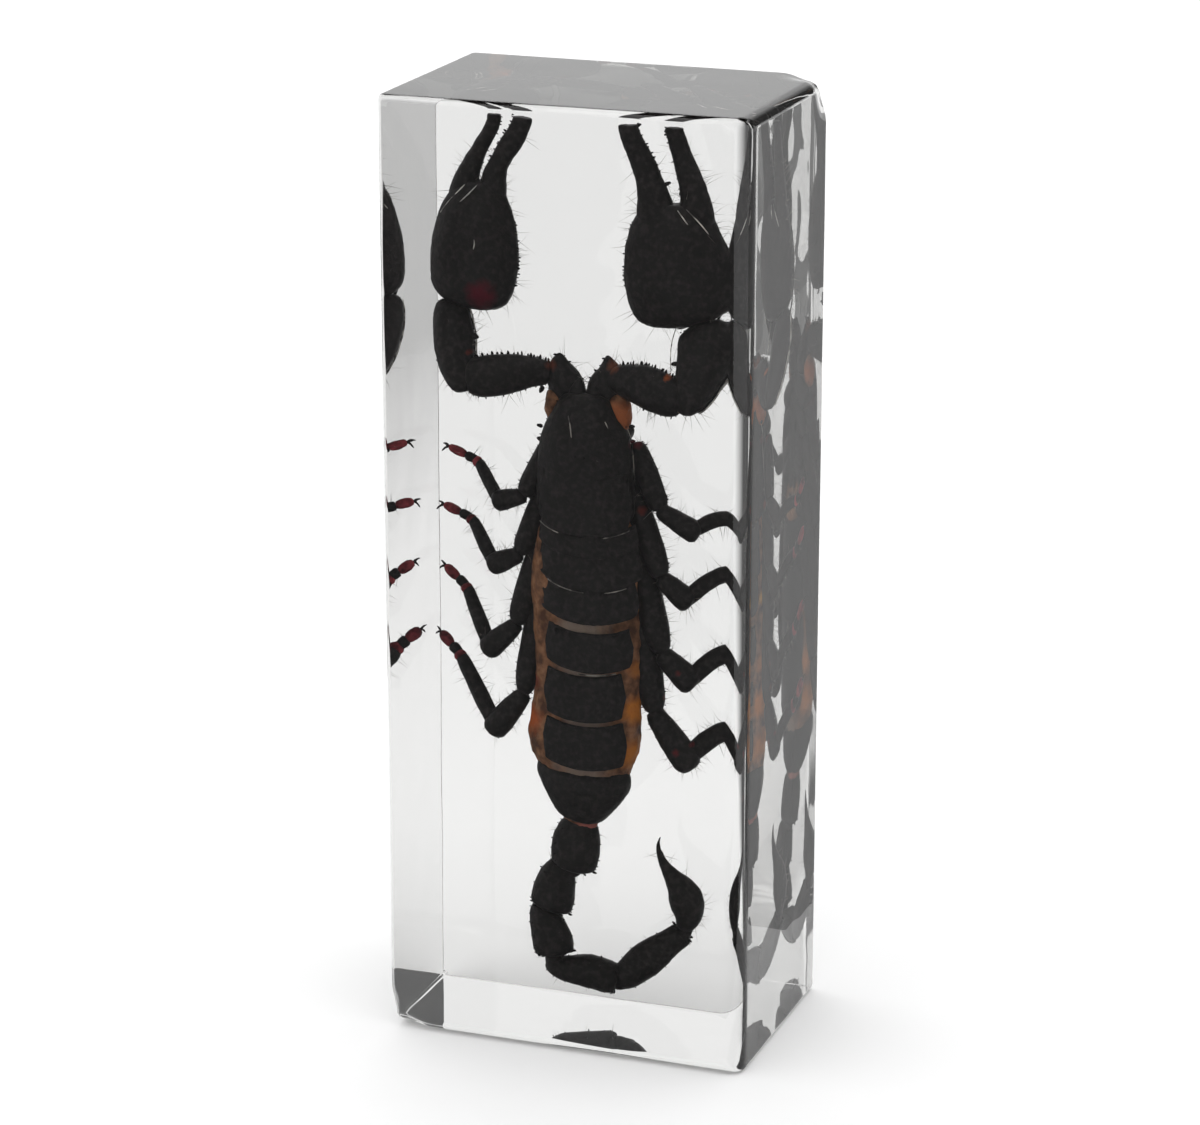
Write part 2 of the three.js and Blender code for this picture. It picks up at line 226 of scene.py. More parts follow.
class Clay:
    """A mesh shaped in edit mode, one closed form after another.

    A keel covers the middle stretch of its run and thins out at both ends. The teeth of a row
    lean out of line, in degrees, and differ in height, each by a sine that moves on by so many
    radians from tooth to tooth. A tooth's root, girth and blunt tip are shares of its height,
    its height and its girth.
    """

    KEEL_START = 0.1
    KEEL_SPAN = 0.8
    KEEL_TIP = 0.4
    TOOTH_SWAY = 5.0
    SWAY_STEP = 5.1
    TOOTH_HEIGHT = 0.8
    HEIGHT_CHANGE = 0.35
    HEIGHT_STEP = 2.4
    TOOTH_ROOT = 0.6
    TOOTH_GIRTH = 0.6
    TOOTH_TIP = 0.4

    def __init__(self, name: str) -> None:
        """Start an empty mesh at the origin.

        Args:
            name: Its name.
        """
        deselect()
        bpy.ops.object.add(type="MESH", location=(0.0, 0.0, 0.0))
        self.piece = bpy.context.object
        self.piece.name = self.piece.data.name = name
        bpy.ops.object.mode_set(mode="EDIT")

    def put_away(self) -> None:
        """Hide what is modelled so far, so that the next form is shaped alone."""
        bpy.ops.mesh.select_all(action="SELECT")
        bpy.ops.mesh.hide()

    def ring(self, place: Vector, turn: Matrix, wide: float, thick: float, sides: int) -> None:
        """Add one open ring.

        Args:
            place: Its middle, in metres.
            turn: Its axes, from frames().
            wide, thick: Its half width and half thickness, in metres.
            sides: How many sides it has.
        """
        bpy.ops.mesh.primitive_circle_add(
            vertices=sides, radius=wide, location=place, rotation=turn.to_euler()
        )
        bpy.ops.transform.resize(
            value=(1.0, thick / wide, 1.0),
            orient_type="GLOBAL",
            orient_matrix=turn,
            orient_matrix_type="GLOBAL",
            center_override=place,
        )

    def tube(self, run: Sequence[Ring], sides: int = 12, upright: bool = False) -> None:
        """Add a closed tube through a run of rings.

        Args:
            run: The rings in order.
            sides: How many sides each ring has.
            upright: Whether its rings lie level.
        """
        # Subdivision draws a ring of few sides inward, so it starts wider by as much.
        reach = MM * 3 / (2 + math.cos(2 * math.pi / sides))
        for ring, (place, turn) in zip(run, frames(run, upright)):
            self.ring(place, turn, ring.wide * reach, ring.thick * reach, sides)
        bpy.ops.mesh.select_all(action="SELECT")
        bpy.ops.mesh.bridge_edge_loops()
        bpy.ops.mesh.select_all(action="DESELECT")
        bpy.ops.mesh.select_non_manifold()
        bpy.ops.mesh.edge_face_add()
        self.put_away()

    def line(self, points: Iterable[Sequence[float]], radius: float) -> None:
        """Add a thin round line through points.

        Args:
            points: The points in order, in millimetres.
            radius: Half its thickness, in millimetres.
        """
        self.tube([Ring(*point, radius, radius) for point in points], sides=6)

    def keel(self, run: Sequence[Ring], angle: float, radius: float, steps: int = 8,
             lift: float = 0.0) -> None:
        """Add a low ridge that follows the skin of a run.

        Args:
            run: The run that carries it.
            angle: Degrees round the run, as in on_skin().
            radius: Half its thickness, in millimetres.
            steps: How many stretches it is made of.
            lift: How far its middle stands off the skin, in millimetres.
        """
        ridge = []
        for i in range(steps + 1):
            ring, turn = between(run, self.KEEL_START + self.KEEL_SPAN * i / steps)
            point, out = on_skin(ring, turn, angle)
            point += out * lift * MM
            size = radius * (self.KEEL_TIP if i in (0, steps) else 1.0)
            ridge.append(Ring(*(point / MM), size, size))
        self.tube(ridge, sides=6)

    def teeth(self, run: Sequence[Ring], row: Row) -> None:
        """Add a row of blunt teeth.

        Args:
            run: The run that carries it.
            row: Its place and its sizes.
        """
        for i in range(row.count):
            share = row.start + (row.end - row.start) * i / (row.count - 1)
            ring, turn = between(run, share)
            sway = self.TOOTH_SWAY * math.sin(self.SWAY_STEP * i)
            point, out = on_skin(ring, turn, row.angle + sway)
            change = self.HEIGHT_CHANGE * math.sin(self.HEIGHT_STEP * i + row.angle)
            tall = row.height * MM * (self.TOOTH_HEIGHT + change)
            foot = point - out * tall * self.TOOTH_ROOT
            self.tooth(foot, out, tall * (1 + self.TOOTH_ROOT), tall * self.TOOTH_GIRTH)

    def tooth(self, foot: Vector, way: Vector, tall: float, radius: float) -> None:
        """Add one blunt tooth.

        Args:
            foot: The middle of its foot, in metres.
            way: The direction that it points in.
            tall: Its height, in metres.
            radius: The radius of its foot, in metres.
        """
        bpy.ops.mesh.primitive_cone_add(
            vertices=6,
            radius1=radius,
            radius2=radius * self.TOOTH_TIP,
            depth=tall,
            location=foot + way * tall / 2,
            rotation=way.to_track_quat("Z", "Y").to_euler(),
        )
        self.put_away()

    def done(self, levels: int = 2) -> bpy.types.Object:
        """Leave edit mode with every face turned outward and the forms rounded.

        Args:
            levels: How often the mesh is subdivided.

        Returns:
            The finished object.
        """
        bpy.ops.mesh.reveal()
        bpy.ops.mesh.select_all(action="SELECT")
        bpy.ops.mesh.normals_make_consistent(inside=False)
        bpy.ops.object.mode_set(mode="OBJECT")
        if levels:
            modify(self.piece, "SUBSURF", levels=levels, render_levels=levels)
        pick(self.piece)
        bpy.ops.object.shade_smooth()
        return self.piece


def roughen(piece: bpy.types.Object, grain: float, height: float, middle: float) -> None:
    """Raise and lower the skin by a cloudy procedural grain.

    Args:
        piece: The object.
        grain: The size of its lumps, in millimetres.
        height: How high they are, in millimetres.
        middle: The share of the texture that leaves the skin where it is.
    """
    texture = bpy.data.textures.new(f"{piece.name}_clouds", "CLOUDS")
    texture.noise_scale = grain * MM
    modify(
        piece, "DISPLACE", texture=texture, texture_coords="LOCAL", strength=height * MM,
        mid_level=middle,
    )


def granulate(piece: bpy.types.Object, height: float) -> None:
    """Give hard skin its uneven, finely grained surface, of that height in millimetres."""
    for grain, share in HARD_SKIN_GRAINS:
        roughen(piece, grain, height * share, 0.5)


def sleeve(first: Sequence[Ring], second: Sequence[Ring], share: float = 0.85) -> list[Ring]:
    """The soft skin of a joint, as a run from inside one piece into the next one.

    Args:
        first: The run that it comes out of.
        second: The run that it goes into.
        share: Its half width beside the narrower of the two ends that it joins.

    Returns:
        The skin's rings.
    """
    bridge = [first[-3], first[-2], second[1], second[2]]
    slim = min(ring.wide for ring in bridge[1:3]) * share
    return [Ring(r.x, r.y, r.z, slim, slim * SLEEVE_THICKNESS) for r in bridge]


def domed(run: Sequence[Ring]) -> list[Ring]:
    """A run with a smaller ring beyond each end, which rounds the ends off.

    Args:
        run: The rings in order.

    Returns:
        The longer run.
    """
    ends = []
    for end, inner in ((run[0], run[2]), (run[-1], run[-3])):
        tip = end.centre + (end.centre - inner.centre).normalized() * DOME_RISE * MM
        ends.append(Ring(*(tip / MM), end.wide * DOME_TIP, end.thick * DOME_TIP))
    return [ends[0], *run, ends[1]]


# ---- Finishes -------------------------------------------------------------------------------


def add_node(
    tree: bpy.types.NodeTree, kind: str, links: dict | None = None, **settings: object
) -> bpy.types.Node:
    """Add a node with its settings and what comes into it.

    Args:
        tree: The node tree.
        kind: The node's type name.
        links: For each input, by name or number, another node's output or a plain value.
        settings: The node's own properties.

    Returns:
        The new node.
    """
    node = tree.nodes.new(kind)
    for key, value in settings.items():
        setattr(node, key, value)
    for socket, source in (links or {}).items():
        if isinstance(source, bpy.types.NodeSocket):
            tree.links.new(source, node.inputs[socket])
        else:
            node.inputs[socket].default_value = source
    return node


@dataclass(frozen=True)
class Spot:
    """A place where a skin has another tone.

    Args:
        place: Its middle, in millimetres.
        radius: How far it reaches, in millimetres.
        tone: Its colour.
        depth_share: How much the distance from front to back counts.
    """

    place: tuple[float, float, float]
    radius: float
    tone: str
    depth_share: float = 0.25


class Finish:
    """A material made of nodes around one principled shader.

    The border of a patch has ripples of a share of its radius, and it ends at a share too.
    """

    PATCH_RIPPLE = 0.8
    PATCH_END = 1.9

    def __init__(self, name: str) -> None:
        """Start an empty material.

        Args:
            name: Its name.
        """
        self.material = bpy.data.materials.new(name)
        self.material.use_nodes = True
        self.tree = self.material.node_tree
        self.tree.nodes.clear()
        self.out = add_node(self.tree, "ShaderNodeOutputMaterial")
        self.place = add_node(self.tree, "ShaderNodeTexCoord").outputs["Object"]

    def shade(self, **inputs: object) -> None:
        """Add the principled shader.

        Args:
            inputs: Its values and links; a name is given with _ for each space.
        """
        links = {key.replace("_", " "): value for key, value in inputs.items()}
        shader = add_node(self.tree, "ShaderNodeBsdfPrincipled", links)
        self.tree.links.new(shader.outputs["BSDF"], self.out.inputs["Surface"])

    def noise(self, size: float, detail: float = 3.0) -> bpy.types.NodeSocket:
        """The factor of a noise whose lumps have that size, in millimetres."""
        links = {"Vector": self.place, "Scale": 1 / (size * MM), "Detail": detail}
        return add_node(self.tree, "ShaderNodeTexNoise", links).outputs["Fac"]

    def ramp(self, share: bpy.types.NodeSocket, *stops: tuple[float, str]) -> bpy.types.NodeSocket:
        """A colour that runs through hex values as a share passes each one's stop.

        Args:
            share: The share.
            stops: Pairs of a stop and its colour, in order.

        Returns:
            The colour.
        """
        ramp = add_node(self.tree, "ShaderNodeValToRGB", {"Fac": share})
        elements = ramp.color_ramp.elements
        for element, (at, colour) in zip(elements, (stops[0], stops[-1])):
            element.position = at
            element.color = linear(colour)
        for at, colour in stops[1:-1]:
            elements.new(at).color = linear(colour)
        return ramp.outputs["Color"]

    def patch(self, colour: bpy.types.NodeSocket, spot: Spot) -> bpy.types.NodeSocket:
        """A colour that turns to another tone round a place, with an uneven border.

        Args:
            colour: The colour all round.
            spot: The place and its tone.

        Returns:
            The colour with the patch.
        """
        seen = (1.0, spot.depth_share, 1.0)
        at = Vector(spot.place) * MM
        flat = add_node(self.tree, "ShaderNodeVectorMath", {0: self.place, 1: seen},
                        operation="MULTIPLY").outputs["Vector"]
        away = add_node(self.tree, "ShaderNodeVectorMath", {
            0: flat, 1: tuple(a * b for a, b in zip(at, seen)),
        }, operation="DISTANCE").outputs["Value"]
        reach = spot.radius * MM
        away = add_node(self.tree, "ShaderNodeMath", {
            0: self.noise(spot.radius * self.PATCH_RIPPLE), 1: reach, 2: away,
        }, operation="MULTIPLY_ADD").outputs["Value"]
        share = add_node(self.tree, "ShaderNodeMapRange", {
            "Value": away, "From Min": reach, "From Max": reach * self.PATCH_END,
            "To Min": 1.0, "To Max": 0.0,
        }).outputs["Result"]
        return add_node(self.tree, "ShaderNodeMix", {
            0: share, 6: colour, 7: linear(spot.tone),
        }, data_type="RGBA").outputs[2]

    def bump(self, height: bpy.types.NodeSocket, depth: float) -> bpy.types.NodeSocket:
        """The normal of a relief of that depth, in millimetres."""
        links = {"Height": height, "Distance": depth * MM, "Strength": 1.0}
        return add_node(self.tree, "ShaderNodeBump", links).outputs["Normal"]


@dataclass(frozen=True)
class ClearPolyester:
    """Clear casting resin, ground and polished: it looks like thick, faintly grey glass.

    Args:
        tint: The colour of what passes.
        per_metre: How much is lost on the way, for each metre.
        ior: The index of refraction.
    """

    tint: str = "ECECEB"
    per_metre: float = 38.0
    ior: float = 1.55

    def material(self) -> bpy.types.Material:
        """Make the resin, see-through all over and absorbing inside.

        Returns:
            The material.
        """
        finish = Finish("clear_cast_polyester")
        finish.shade(Base_Color=linear("FFFFFF"), Roughness=0.0, IOR=self.ior, Transmission_Weight=1.0)
        loss = {"Color": linear(self.tint), "Density": self.per_metre}
        absorb = add_node(finish.tree, "ShaderNodeVolumeAbsorption", loss)
        finish.tree.links.new(absorb.outputs["Volume"], finish.out.inputs["Volume"])
        return finish.material


@dataclass(frozen=True)
class Cuticle:
    """Dried hard cuticle: black-brown, dull, with fine grains that catch a little light.

    Args:
        dark, worn: The two tones that it is mottled with.
        mottle: The size of the mottling, in millimetres.
        grain, relief: The size and the depth of its grains, in millimetres.
        roughness, specular: The shader's values.
        thin_spots: Where it is thin and red-brown.
    """

    dark: str = "201E1E"
    worn: str = "322E2E"
    mottle: float = 0.7
    grain: float = 0.35
    relief: float = 0.05
    roughness: float = 0.4
    specular: float = 0.08
    thin_spots: tuple[Spot, ...] = (
        Spot((-13.2, 2.0, 86.0), 1.5, "561624"),
        Spot((-5.3, 3.5, 78.3), 0.6, "5A3024"),
        Spot((2.1, 3.5, 78.8), 0.7, "6A4030"),
        Spot((-14.9, 3.0, 79.2), 0.35, "70302A"),
        Spot((8.9, 3.0, 78.3), 0.4, "A85830"),
        Spot((4.6, 5.0, 69.9), 0.6, "5A2028"),
        Spot((5.4, 5.0, 62.2), 0.5, "5E2620"),
        Spot((10.1, 4.5, 43.6), 0.35, "5A2424"),
        Spot((8.6, 4.5, 40.2), 0.5, "6E3A26"),
        Spot((9.9, 4.5, 34.0), 0.45, "5E2226"),
        Spot((11.6, 4.5, 35.0), 0.3, "5A2428"),
        Spot((9.9, 4.5, 31.3), 0.3, "7A3A28"),
    )

    def material(self) -> bpy.types.Material:
        """Make the cuticle, mottled, with its thin spots and its grain.

        Returns:
            The material.
        """
        finish = Finish("dried_cuticle")
        colour = finish.ramp(finish.noise(self.mottle), (0.45, self.dark), (0.75, self.worn))
        for spot in self.thin_spots:
            colour = finish.patch(colour, spot)
        normal = finish.bump(finish.noise(self.grain, detail=4.0), self.relief)
        finish.shade(Base_Color=colour, Roughness=self.roughness, Specular_IOR_Level=self.specular,
                     Normal=normal)
        return finish.material


@dataclass(frozen=True)
class SoftSkin:
    """Soft skin between the plates: brown and wrinkled, orange where light comes through.

    Args:
        name: The material's name.
        dark, light: The two tones that it is mottled with.
        mottle: The size of the mottling, in millimetres.
        wrinkle, relief: The size and the depth of its wrinkles, in millimetres.
        roughness, specular: The shader's values.
        spots: Where it has another tone.
    """

    name: str
    dark: str
    light: str
    mottle: float = 1.3
    wrinkle: float = 0.5
    relief: float = 0.12
    roughness: float = 0.5
    specular: float = 0.1
    spots: tuple[Spot, ...] = ()

    def material(self) -> bpy.types.Material:
        """Make the skin, mottled, with its spots and its wrinkles.

        Returns:
            The material.
        """
        finish = Finish(self.name)
        colour = finish.ramp(finish.noise(self.mottle), (0.35, self.dark), (0.68, self.light))
        for spot in self.spots:
            colour = finish.patch(colour, spot)
        normal = finish.bump(finish.noise(self.wrinkle, detail=5.0), self.relief)
        finish.shade(Base_Color=colour, Roughness=self.roughness, Specular_IOR_Level=self.specular,
                     Normal=normal)
        return finish.material


# The trunk's soft skin: orange and amber as a painted glow where light comes through at the
# sides and the neck, dull pink under the last plate, and grey-brown in the bands between the
# back plates.
SKIN_TONES_AND_PAINTED_GLOW = (
    Spot((5.0, 5.0, 38.6), 1.5, "C87A34"),
    Spot((4.2, 5.0, 33.4), 1.6, "BE7432"),
    Spot((5.1, 5.0, 43.5), 1.0, "A86A38"),
    Spot((5.2, 5.0, 51.3), 0.7, "E0A038"),
    Spot((-8.0, 5.0, 36.2), 1.6, "B05A30"),
    Spot((-7.6, 5.0, 40.8), 1.0, "7E3E2C"),
    Spot((3.2, 5.0, 73.2), 1.6, "A8603A"),
    Spot((-1.0, 6.0, 23.6), 1.2, "A8645C"),
    Spot((-1.0, 3.0, 47.6), 3.1, "8C7C70"),
    Spot((-1.0, 3.0, 42.2), 2.9, "84746A"),
    Spot((-0.4, 3.0, 36.4), 2.6, "84746A"),
    Spot((-1.2, 3.0, 30.2), 2.9, "8C7A6E"),
)


@dataclass(frozen=True)
class Bristle:
    """Stiff bristle: thin and grey-brown, so it reads as a fine soft line.

    Args:
        colour, pale: The two tones along and between the bristles.
    """

    colour: str = "6A625C"
    pale: str = "A09890"

    def material(self) -> bpy.types.Material:
        """Make the bristle, a little paler in places.

        Returns:
            The material.
        """
        finish = Finish("dried_bristle")
        colour = finish.ramp(finish.noise(1.0), (0.4, self.colour), (0.6, self.pale))
        finish.shade(Base_Color=colour, Roughness=0.4, Specular_IOR_Level=0.2)
        return finish.material


@dataclass(frozen=True)
class LooseFilm:
    """A film of air where the resin let go of a keel. Its fine silvery line is a painted highlight:
    a near-white base colour stands in for the light that the film reflects.

    Args:
        name: The material's name.
        dull: Its tone where the resin still holds.
        bright: The painted highlight's tone, where the film is open.
    """

    name: str = "air_film_on_cuticle"
    dull: str = "4A4642"
    # A near-white painted highlight, for the shine of the open air film.
    bright: str = "F2EEE6"

    def material(self) -> bpy.types.Material:
        """Make the film, with its painted highlight in stretches.

        Returns:
            The material.
        """
        finish = Finish(self.name)
        colour = finish.ramp(finish.noise(1.3), (0.4, self.dull), (0.62, self.bright))
        finish.shade(Base_Color=colour, Roughness=0.3, Specular_IOR_Level=0.5)
        return finish.material


def dress(piece: bpy.types.Object, material: bpy.types.Material) -> None:
    """Give a piece its material, let it ride with the block, and report it.

    Args:
        piece: The finished object.
        material: Its finish.
    """
    piece.data.materials.clear()
    piece.data.materials.append(material)
    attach(piece, "root")
    log.info("%s: %d faces", piece.name, len(piece.data.polygons))


# ---- The block ------------------------------------------------------------------------------


@dataclass
class ResinBlock:
    """The whole casting: one clear solid with ground edges and faintly wavy faces.

    An edge is named by the way it lies from the middle: left or right, front or back, and
    bottom or top. All sizes are in millimetres.

    Args:
        cuts: How often the faces are cut across each axis, so that they can carry waves.
        waviness, wave: The height and the length of the waves.
        edges: The radius of each edge's rounding.
        edge_steps: How many faces a rounding has.
        worn_corners: How far each worn corner is ground away.
        worn_reach: How far round a corner the wear reaches.
        back_inset: How far the back face stays inside the halves, so that its waves do too.
        flatness: How strongly the large faces set the shading at their edges, from 1 to 100.
    """

    cuts: tuple[int, int, int] = (26, 17, 66)
    waviness: float = 0.06
    wave: float = 14.0
    edges: dict[tuple[int, int, int], float] = field(default_factory=lambda: {
        (0, -1, 1): 0.8, (0, -1, -1): 1.4, (-1, -1, 0): 0.7, (1, -1, 0): 2.3,
        (-1, 0, 1): 0.5, (1, 0, 1): 1.4, (0, 1, 1): 0.35,
        (-1, 1, 0): 0.1, (1, 1, 0): 0.6, (0, 1, -1): 0.1, (-1, 0, -1): 0.5, (1, 0, -1): 0.6,
    })
    edge_steps: int = 7
    worn_corners: dict[tuple[int, int, int], float] = field(default_factory=lambda: {
        (1, 1, 1): 1.2, (-1, -1, -1): 0.8,
    })
    worn_reach: float = 5.0
    back_inset: float = 0.05
    flatness: int = 60

    def build(self) -> bpy.types.Object:
        """Model the casting in the space of its two halves and dress it.

        Returns:
            The casting.
        """
        front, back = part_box("resin_front"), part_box("resin_back")
        low = Vector(map(min, front[0], back[0]))
        high = Vector(map(max, front[1], back[1]))
        high.y -= self.back_inset * MM
        middle, size = (low + high) / 2, high - low
        deselect()
        bpy.ops.mesh.primitive_cube_add(size=1.0, location=middle)
        block = bpy.context.object
        block.name = block.data.name = "resin_block"
        block.scale = size
        bpy.ops.object.transform_apply(location=True, rotation=True, scale=True)
        self.round_edges(block, middle, size)
        self.divide(block, size)
        self.wear(block, middle, size)
        roughen(block, self.wave, self.waviness, 1.0)
        pick(block)
        bpy.ops.object.shade_smooth()
        modify(block, "WEIGHTED_NORMAL", weight=self.flatness)
        dress(block, ClearPolyester().material())
        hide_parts("resin_front", "resin_back")
        return block

    def round_edges(self, block: bpy.types.Object, middle: Vector, size: Vector) -> None:
        """Bevel each edge of the plain block by its own radius.

        Args:
            block: The block.
            middle, size: Its middle and its three sizes, in metres.
        """
        bpy.ops.object.mode_set(mode="EDIT")
        mesh = bmesh.from_edit_mesh(block.data)
        widest = max(self.edges.values())
        for way, width in self.edges.items():
            bpy.ops.mesh.select_all(action="DESELECT")
            for edge in mesh.edges:
                off = (edge.verts[0].co + edge.verts[1].co) / 2 - middle
                edge.select_set(tuple(round(2 * o / s) for o, s in zip(off, size)) == way)
            bmesh.update_edit_mesh(block.data)
            bpy.ops.transform.edge_bevelweight(value=width / widest)
        bpy.ops.object.mode_set(mode="OBJECT")
        modify(block, "BEVEL", width=widest * MM, segments=self.edge_steps, limit_method="WEIGHT")

    def divide(self, block: bpy.types.Object, size: Vector) -> None:
        """Cut the long edges, and so the faces, into a fine grid.

        Args:
            block: The block.
            size: Its three sizes, in metres.
        """
        pick(block)
        bpy.ops.object.mode_set(mode="EDIT")
        bpy.ops.mesh.select_mode(type="EDGE")
        for axis, number in enumerate(self.cuts):
            bpy.ops.mesh.select_all(action="DESELECT")
            mesh = bmesh.from_edit_mesh(block.data)
            for edge in mesh.edges:
                if abs(edge.verts[1].co[axis] - edge.verts[0].co[axis]) > size[axis] / 2:
                    edge.select_set(True)
            bmesh.update_edit_mesh(block.data)
            bpy.ops.mesh.subdivide(number_cuts=number)
        bpy.ops.mesh.select_mode(type="VERT")
        bpy.ops.object.mode_set(mode="OBJECT")
        modify(block, "SUBSURF", levels=1, render_levels=1, subdivision_type="SIMPLE")

    def wear(self, block: bpy.types.Object, middle: Vector, size: Vector) -> None:
        """Push the worn corners in, with what lies round them.

        Args:
            block: The block.
            middle, size: Its middle and its three sizes, in metres.
        """
        pick(block)
        bpy.ops.object.mode_set(mode="EDIT")
        for way, depth in self.worn_corners.items():
            corner = middle + Vector(o * s / 2 for o, s in zip(way, size))
            bpy.ops.mesh.select_all(action="DESELECT")
            mesh = bmesh.from_edit_mesh(block.data)
            min(mesh.verts, key=lambda vertex: (vertex.co - corner).length).select_set(True)
            bmesh.update_edit_mesh(block.data)
            bpy.ops.transform.translate(
                value=-Vector(way).normalized() * depth * MM,
                use_proportional_edit=True,
                proportional_edit_falloff="SMOOTH",
                proportional_size=self.worn_reach * MM,
            )
        bpy.ops.object.mode_set(mode="OBJECT")


# ---- The scorpion ---------------------------------------------------------------------------


@dataclass
class Pincer:
    """One pincer: arm, forearm, and a hand with its two fingers.

    Args:
        side: The side that it is on.
        trochanter, femur, patella: The rings of the arm, from the trunk outward.
        hand, movable_finger, fixed_finger: The rings of the hand and of its fingers.
        spurs: Each large tooth's foot, direction and height, in millimetres.
        seams: Lines where the resin let go, drawn as painted highlights, each by its points, in
            millimetres.
        rims: Where the patella's ridges run, in degrees as in on_skin().
    """

    side: Side
    trochanter: list[Ring]
    femur: list[Ring]
    patella: list[Ring]
    hand: list[Ring]
    movable_finger: list[Ring]
    fixed_finger: list[Ring]
    spurs: list[tuple[Vector, Vector, float]]
    seams: list[tuple[tuple[float, float, float], ...]]
    rims: tuple[float, float, float]

    # Ridges: the run, the share of a quarter turn from the back towards the inner side, which
    # is a femur's upper side, and the radius.
    KEELS = (("hand", -0.6, 0.18), ("hand", -0.25, 0.16), ("movable_finger", -0.4, 0.14))

    # Half the thickness of the patella's ridges, of the painted highlight lines on them, and of a seam.
    RIM = 0.2
    LINE = 0.1
    SEAM = 0.06

    # Rows of teeth: the run, the same share, and the rest as in Row.
    ROWS = (
        ("femur", 1.0, 24, 0.42),
        ("femur", 0.72, 22, 0.36),
        ("femur", -1.0, 14, 0.24),
        ("femur", -0.6, 12, 0.2),
        ("patella", -1.0, 14, 0.12),
        ("patella", 1.0, 9, 0.2),
        ("hand", 1.0, 38, 0.27, 0.16, 0.74),
        ("hand", 0.75, 30, 0.24, 0.2, 0.75),
        ("hand", 0.45, 22, 0.16, 0.2, 0.75),
        ("fixed_finger", -1.0, 12, 0.26, 0.3, 0.9),
        ("fixed_finger", -1.0, 5, 0.4, 0.35, 0.85),
        ("movable_finger", 1.0, 14, 0.22, 0.3, 0.95),
    )
    TROCHANTER_ROWS = (Row(30, 8, 0.25), Row(-30, 8, 0.25), Row(90, 6, 0.3), Row(-90, 6, 0.3))
    SPUR_GIRTH = 0.45

    def build(self, cuticle: bpy.types.Material, film: bpy.types.Material) -> bpy.types.Object:
        """Model the pincer in one piece, with the painted highlight lines on its keels, and dress both.

        Args:
            cuticle: The finish of the pincer.
            film: The finish of the lines.

        Returns:
            The pincer.
        """
        inner = 90 * self.side.value
        clay = Clay(f"{self.side.word}_pincer")
        for run in (self.trochanter, self.femur, self.patella):
            clay.tube(run)
        clay.tube(self.hand, sides=16, upright=True)
        for run in (self.movable_finger, self.fixed_finger):
            clay.tube(run, sides=10)
        for angle in self.rims:
            clay.keel(self.patella, angle, self.RIM, steps=12)
        for name, share, radius in self.KEELS:
            clay.keel(getattr(self, name), inner * share, radius, steps=12)
        for name, share, *sizes in self.ROWS:
            clay.teeth(getattr(self, name), Row(inner * share, *sizes))
        for row in self.TROCHANTER_ROWS:
            clay.teeth(self.trochanter, row)
        for foot, way, tall in self.spurs:
            clay.tooth(foot * MM, way.normalized(), tall * MM, tall * MM * self.SPUR_GIRTH)
        piece = clay.done()
        granulate(piece, 0.1)
        dress(piece, cuticle)
        self.build_lines(film)
        return piece

    def build_lines(self, film: bpy.types.Material) -> None:
        """Model the painted highlight lines on the patella's ridges and along the seams, and dress them.

        Args:
            film: Their finish.
        """
        clay = Clay(f"{self.side.word}_keel_lines")
        for angle in self.rims:
            clay.keel(self.patella, angle, self.LINE, steps=16, lift=self.RIM + self.LINE)
        for seam in self.seams:
            clay.line(seam, self.SEAM)
        dress(clay.done(levels=1), film)

    def joint_skin(self) -> list[list[Ring]]:
        """The soft skin in the pincer's joints."""
        return [sleeve(self.trochanter, self.femur), sleeve(self.femur, self.patella)]


